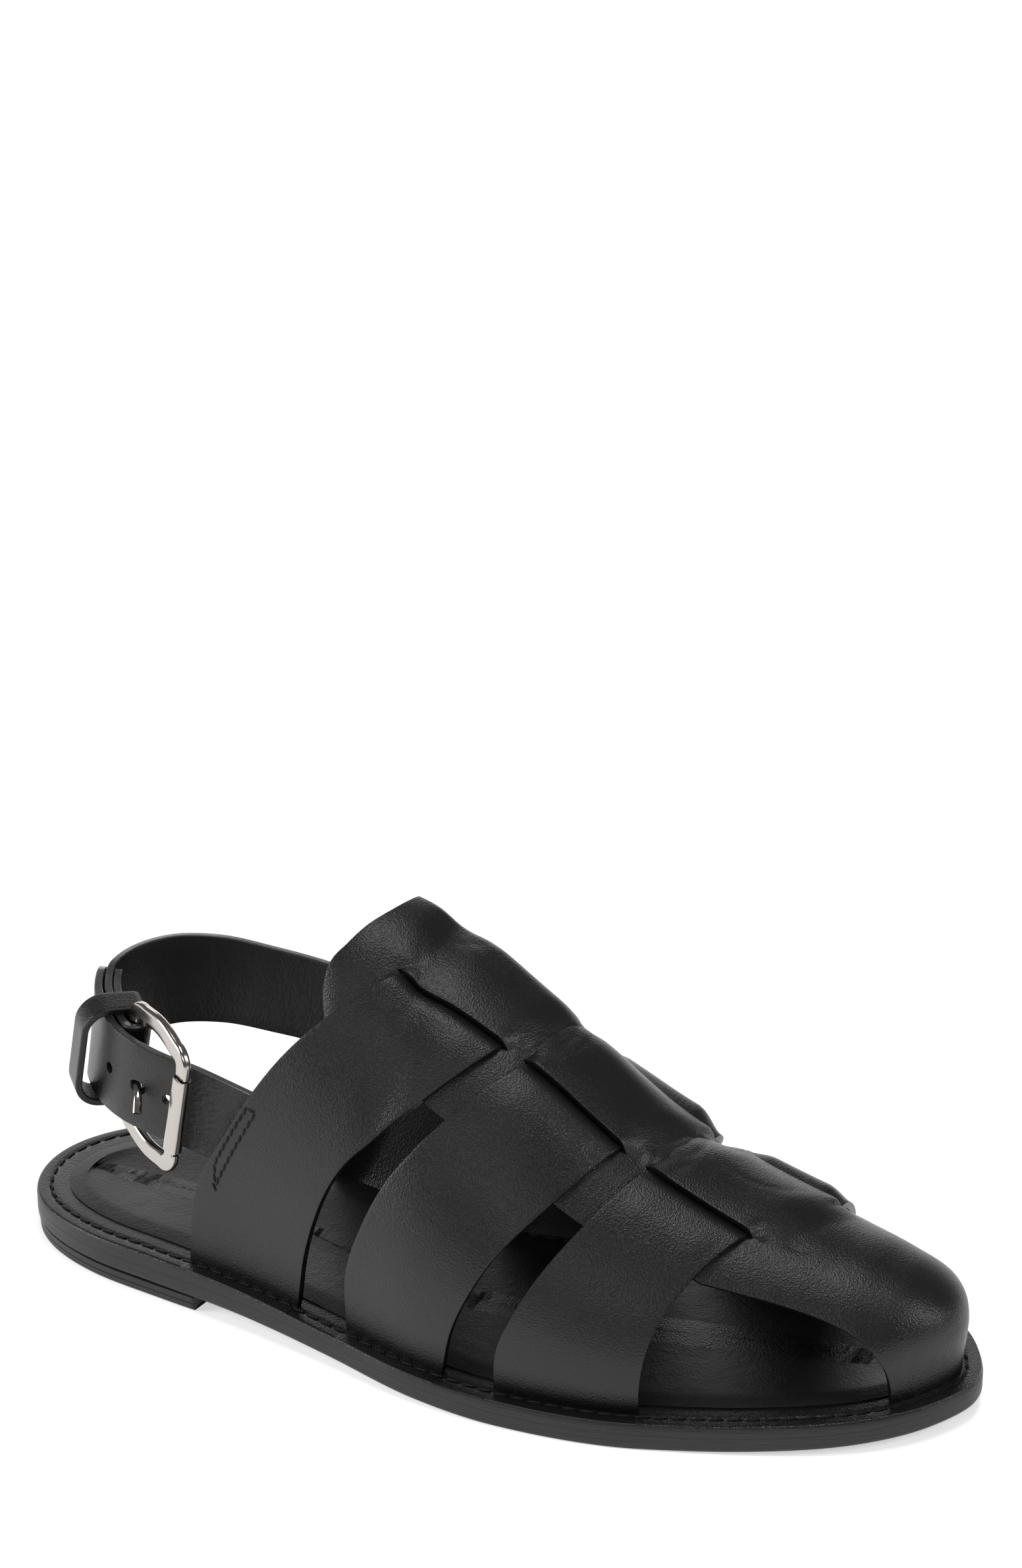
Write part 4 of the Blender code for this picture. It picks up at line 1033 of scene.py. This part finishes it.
milled = material("milled_calf", (0.0055, 0.0055, 0.0055), 0.44, specular_ior_level=0.5)
pebbles = texture(milled, "Voronoi", (1.0, 1.0, 1.5), in_scale=620.0)
wrinkles = texture(milled, "Noise", (1.8, 1.8, 0.8), in_scale=480.0, in_detail=5.0, in_roughness=0.65)
varied(milled, 0.34, 0.52, wrinkles.outputs["Fac"], "Roughness")
bumped(milled, ((wrinkles.outputs["Fac"], 0.5), (pebbles.outputs["Distance"], 0.28)))
buckle_strap.data.materials.append(milled)
for face in buckle_strap.data.polygons:
    if face.center.x / MM + FOOT_MIDDLE[0] > 66 and face.material_index == 0:
        face.material_index = 3
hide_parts("buckle_strap")
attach(buckle_strap, "root")

# The keeper: a narrow loop of calf, its ends butted behind, that slides on both straps and holds the free end.
KEEPER_Y = -21.0
KEEPER_SIZE = (17.4, 31.6)
KEEPER_CORNERS = (7.2, 2.5)
KEEPER_WALL, KEEPER_STRIP, KEEPER_OUT, KEEPER_DROP = 2.0, 8.6, 0.7, 0.6
keeper_at = int(np.argmin(abs(sling_run[:, 1] - KEEPER_Y)))
keeper_up = strap_up(sling_run[keeper_at])
keeper_out = Vector(sling_normals[keeper_at])
keeper_out = (keeper_out - keeper_up * keeper_out.dot(keeper_up)).normalized()
keeper_along = keeper_out.cross(keeper_up)
keeper_centre = Vector(sling_run[keeper_at]) + keeper_out * KEEPER_OUT - keeper_up * KEEPER_DROP
keeper_loop_path = np.concatenate([
    corner_arc(*KEEPER_SIZE, KEEPER_CORNERS[quarter // 2], quarter, 12) for quarter in range(4)
])
ring_points = np.array([keeper_centre + keeper_out * x + keeper_up * y for x, y in keeper_loop_path])
shift_back, shift_on = np.roll(ring_points, 1, 0), np.roll(ring_points, -1, 0)
ring_way = shift_on - shift_back
ring_way /= np.linalg.norm(ring_way, axis=1)[:, None]
ring_out = np.cross(ring_way, np.array(keeper_along))
ring_out /= np.linalg.norm(ring_out, axis=1)[:, None]
ring_count = len(ring_points)
keeper = swept(
    "keeper_band", ring_points, ring_out, [keeper_along] * ring_count, [KEEPER_STRIP] * ring_count, KEEPER_WALL, 0.4,
    endless=True,
)
keeper.data.materials.append(calf)
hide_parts("keeper_loop")
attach(keeper, "root")

# The buckle: a flat cast frame, polished and nickel plated, with a rolled sleeve turning on its front bar and a
# prong bent round its back bar, which goes through the middle hole and ends in a flattened, bent tip.
FRAME_HEIGHT = 37.6
FRAME_CORNER = 4.2
FRAME_BOW = 1.5
BAR_WIDTH, NECK_WIDTH, NECK_SHOULDER = 5.3, 3.6, 0.4
SLEEVE_LENGTH, SLEEVE_WALL = 24.5, 0.6
PRONG_RADIUS, PRONG_LENGTH = 1.05, 16.8
nickel = material("polished_nickel", (0.46, 0.43, 0.405), 0.14, 1.0)
rub = texture(nickel, "Noise", in_scale=260.0, in_detail=5.0, in_roughness=0.6)
varied(nickel, 0.07, 0.26, rub.outputs["Fac"], "Roughness")
ripple = texture(nickel, "Noise", in_scale=120.0, in_detail=1.0)
bumped(nickel, ((ripple.outputs["Fac"], 0.10),))
frame_path, frame_widths = [], []
for side, neck in ((1, SLEEVE_LENGTH / 2 + GAP), (-1, STRAP_WIDTH / 2 + 2 * GAP)):
    corners = np.concatenate([
        corner_arc(FRAME_LENGTH, FRAME_HEIGHT, FRAME_CORNER, quarter, 8) for quarter in (1 - side, 2 - side)
    ])
    heights = [side * h for h in (-neck - NECK_SHOULDER, -neck, 0, neck, neck + NECK_SHOULDER)]
    straight = FRAME_LENGTH / 2 - FRAME_CORNER
    bowed = [
        (side * straight * t, side * (FRAME_HEIGHT / 2 + FRAME_BOW * (1 - t * t) ** 1.5))
        for t in (0.85, 0.65, 0.45, 0.22, 0, -0.22, -0.45, -0.65, -0.85)
    ]
    frame_path += [*corners[:9], *[(side * FRAME_LENGTH / 2, h) for h in heights], *corners[9:], *bowed]
    frame_widths += [BAR_WIDTH] * 10 + [NECK_WIDTH] * 3 + [BAR_WIDTH] * 19
frame_path = np.array(frame_path)
way = np.roll(frame_path, -1, 0) - np.roll(frame_path, 1, 0)
way /= np.linalg.norm(way, axis=1)[:, None]
turn_frame = np.array(frame_place.to_3x3())
bar_points = np.array([frame_place @ Vector((x, y, 0)) for x, y in frame_path])
bar_out = np.column_stack([way[:, 1], -way[:, 0], np.zeros(len(way))]) @ turn_frame.T
bar_face = np.tile(turn_frame[:, 2], (len(way), 1))
buckle = swept("buckle_frame_nickel", bar_points, bar_face, bar_out, frame_widths, BAR_THICKNESS, 0.85, endless=True)

sleeve_rings = []
inner_size = (NECK_WIDTH + 2 * GAP, BAR_THICKNESS + 2 * GAP)
half = SLEEVE_LENGTH / 2
outer_ends = [(True, y) for y in (-half, -half + 0.02, -half + 0.5, 0, half - 0.5, half - 0.02, half)]
for outer, y in ((False, -half + 0.1), *outer_ends, (False, half - 0.1), (False, -half + 0.1)):
    width, height = (side + 2 * SLEEVE_WALL * outer for side in inner_size)
    section = rounded(width, height, 1.6 if outer else 0.9, 4, 2)
    section *= 0.94 if outer and abs(y) == half else 1.0
    sleeve_rings.append([frame_place @ Vector((FRAME_LENGTH / 2 + x, y, z)) for x, z in section])
sleeve = closed("buckle_sleeve_nickel", sleeve_rings, 30.0)

prong_path = []
prong_z = BAR_THICKNESS / 2 + GAP + PRONG_RADIUS + 0.05
for degrees in range(80, 361, 14):
    turned = math.radians(degrees)
    prong_path.append((PRONG_LOOP * math.cos(turned), 0, prong_z * math.sin(turned)))
for along, down in ((0.2, 0.0), (0.45, 0.1), (0.65, 0.4), (0.8, 1.2), (0.9, 2.3), (1.0, 3.6)):
    reach = PRONG_LENGTH * along
    prong_path.append((PRONG_LOOP + reach * math.cos(swing), -down, reach * math.sin(swing)))
prong_path = resample(prong_path, 70)
prong_way_local = np.gradient(prong_path, axis=0)
prong_way_local /= np.linalg.norm(prong_way_local, axis=1)[:, None]
prong_up = np.array([0, 1, 0]) - prong_way_local * prong_way_local[:, 1:2]
prong_up /= np.linalg.norm(prong_up, axis=1)[:, None]
prong_side = np.cross(prong_way_local, prong_up)
to_bar = Matrix.Translation(frame_place.to_3x3() @ Vector((-FRAME_LENGTH / 2, 0, 0))) @ frame_place
near_tip = eased((np.linspace(0, 1, 70) - 0.82) / 0.1)
prong_points = np.array([to_bar @ Vector(p) for p in prong_path])
prong = swept(
    "buckle_prong_nickel", prong_points, prong_side @ turn_frame.T, prong_up @ turn_frame.T,
    2 * PRONG_RADIUS * (1 - 0.15 * near_tip), 2 * PRONG_RADIUS * (1 + 0.2 * near_tip), 1.0,
)
for metal, replaced in ((buckle, "buckle_frame"), (sleeve, "buckle_sleeve"), (prong, "buckle_prong")):
    metal.data.materials.append(nickel)
    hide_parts(replaced)
    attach(metal, "root")

# The floor, the studio light and the camera, which stands where the photograph was taken from.
CAMERA_PLACE = (573.6, -843.3, 573.0)
AZIMUTH, ELEVATION, ROLL = 26.4943, 23.5484, -0.3414
a, e, r = (math.radians(v) for v in (AZIMUTH, ELEVATION, ROLL))
back = Vector((math.sin(a) * math.cos(e), -math.cos(a) * math.cos(e), math.sin(e)))
right = Vector((math.cos(a), math.sin(a), 0))
up = back.cross(right)
right, up = right * math.cos(r) + up * math.sin(r), up * math.cos(r) - right * math.sin(r)
camera_data = bpy.data.cameras.new("camera")
camera_data.lens = 88.48
camera_data.sensor_width = 36.0
camera_data.clip_start = 0.01
camera = bpy.data.objects.new("camera", camera_data)
bpy.context.scene.collection.objects.link(camera)
turned = Matrix((right, up, back)).transposed().to_4x4()
camera.matrix_world = Matrix.Translation(Vector(in_part(CAMERA_PLACE))) @ turned
bpy.context.scene.camera = camera

bpy.ops.object.select_all(action="DESELECT")
bpy.ops.mesh.primitive_plane_add(size=80.0, location=(0, 0, 0))
floor = bpy.context.object
floor.name = "floor"
floor_paint = material("floor_paint", (0.93, 0.93, 0.93), 0.9, emission_strength=0.5, specular_ior_level=0.1)
floor_paint.node_tree.nodes["Principled BSDF"].inputs["Emission Color"].default_value = (1, 1, 1, 1)
floor.data.materials.append(floor_paint)
floor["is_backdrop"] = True

world = bpy.data.worlds.new("studio")
world.use_nodes = True
world.node_tree.nodes["Background"].inputs["Color"].default_value = (1, 1, 1, 1)
world.node_tree.nodes["Background"].inputs["Strength"].default_value = 0.13
bpy.context.scene.world = world
bpy.context.scene.view_settings.view_transform = "Standard"


def softbox(name, place, size, power):
    lamp = bpy.data.lights.new(name, "AREA")
    lamp.shape = "RECTANGLE"
    lamp.size, lamp.size_y = size
    lamp.energy = power
    holder = bpy.data.objects.new(name, lamp)
    bpy.context.scene.collection.objects.link(holder)
    direction = Vector((0, 0, 0.05)) - Vector(place)
    holder.matrix_world = Matrix.Translation(place) @ direction.to_track_quat("-Z", "Y").to_matrix().to_4x4()


softbox("top_light", (0.2, 0.1, 2.2), (1.2, 0.7), 17)
softbox("backdrop_light", (-1.5, 2.4, 0.8), (3.0, 1.5), 22)
softbox("left_light", (-1.7, -0.9, 0.75), (0.9, 1.2), 24)
softbox("right_light", (1.7, 0.25, 1.0), (0.25, 0.8), 10)
softbox("front_light", (0.3, -1.8, 1.3), (1.6, 0.5), 8)

low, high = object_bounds()
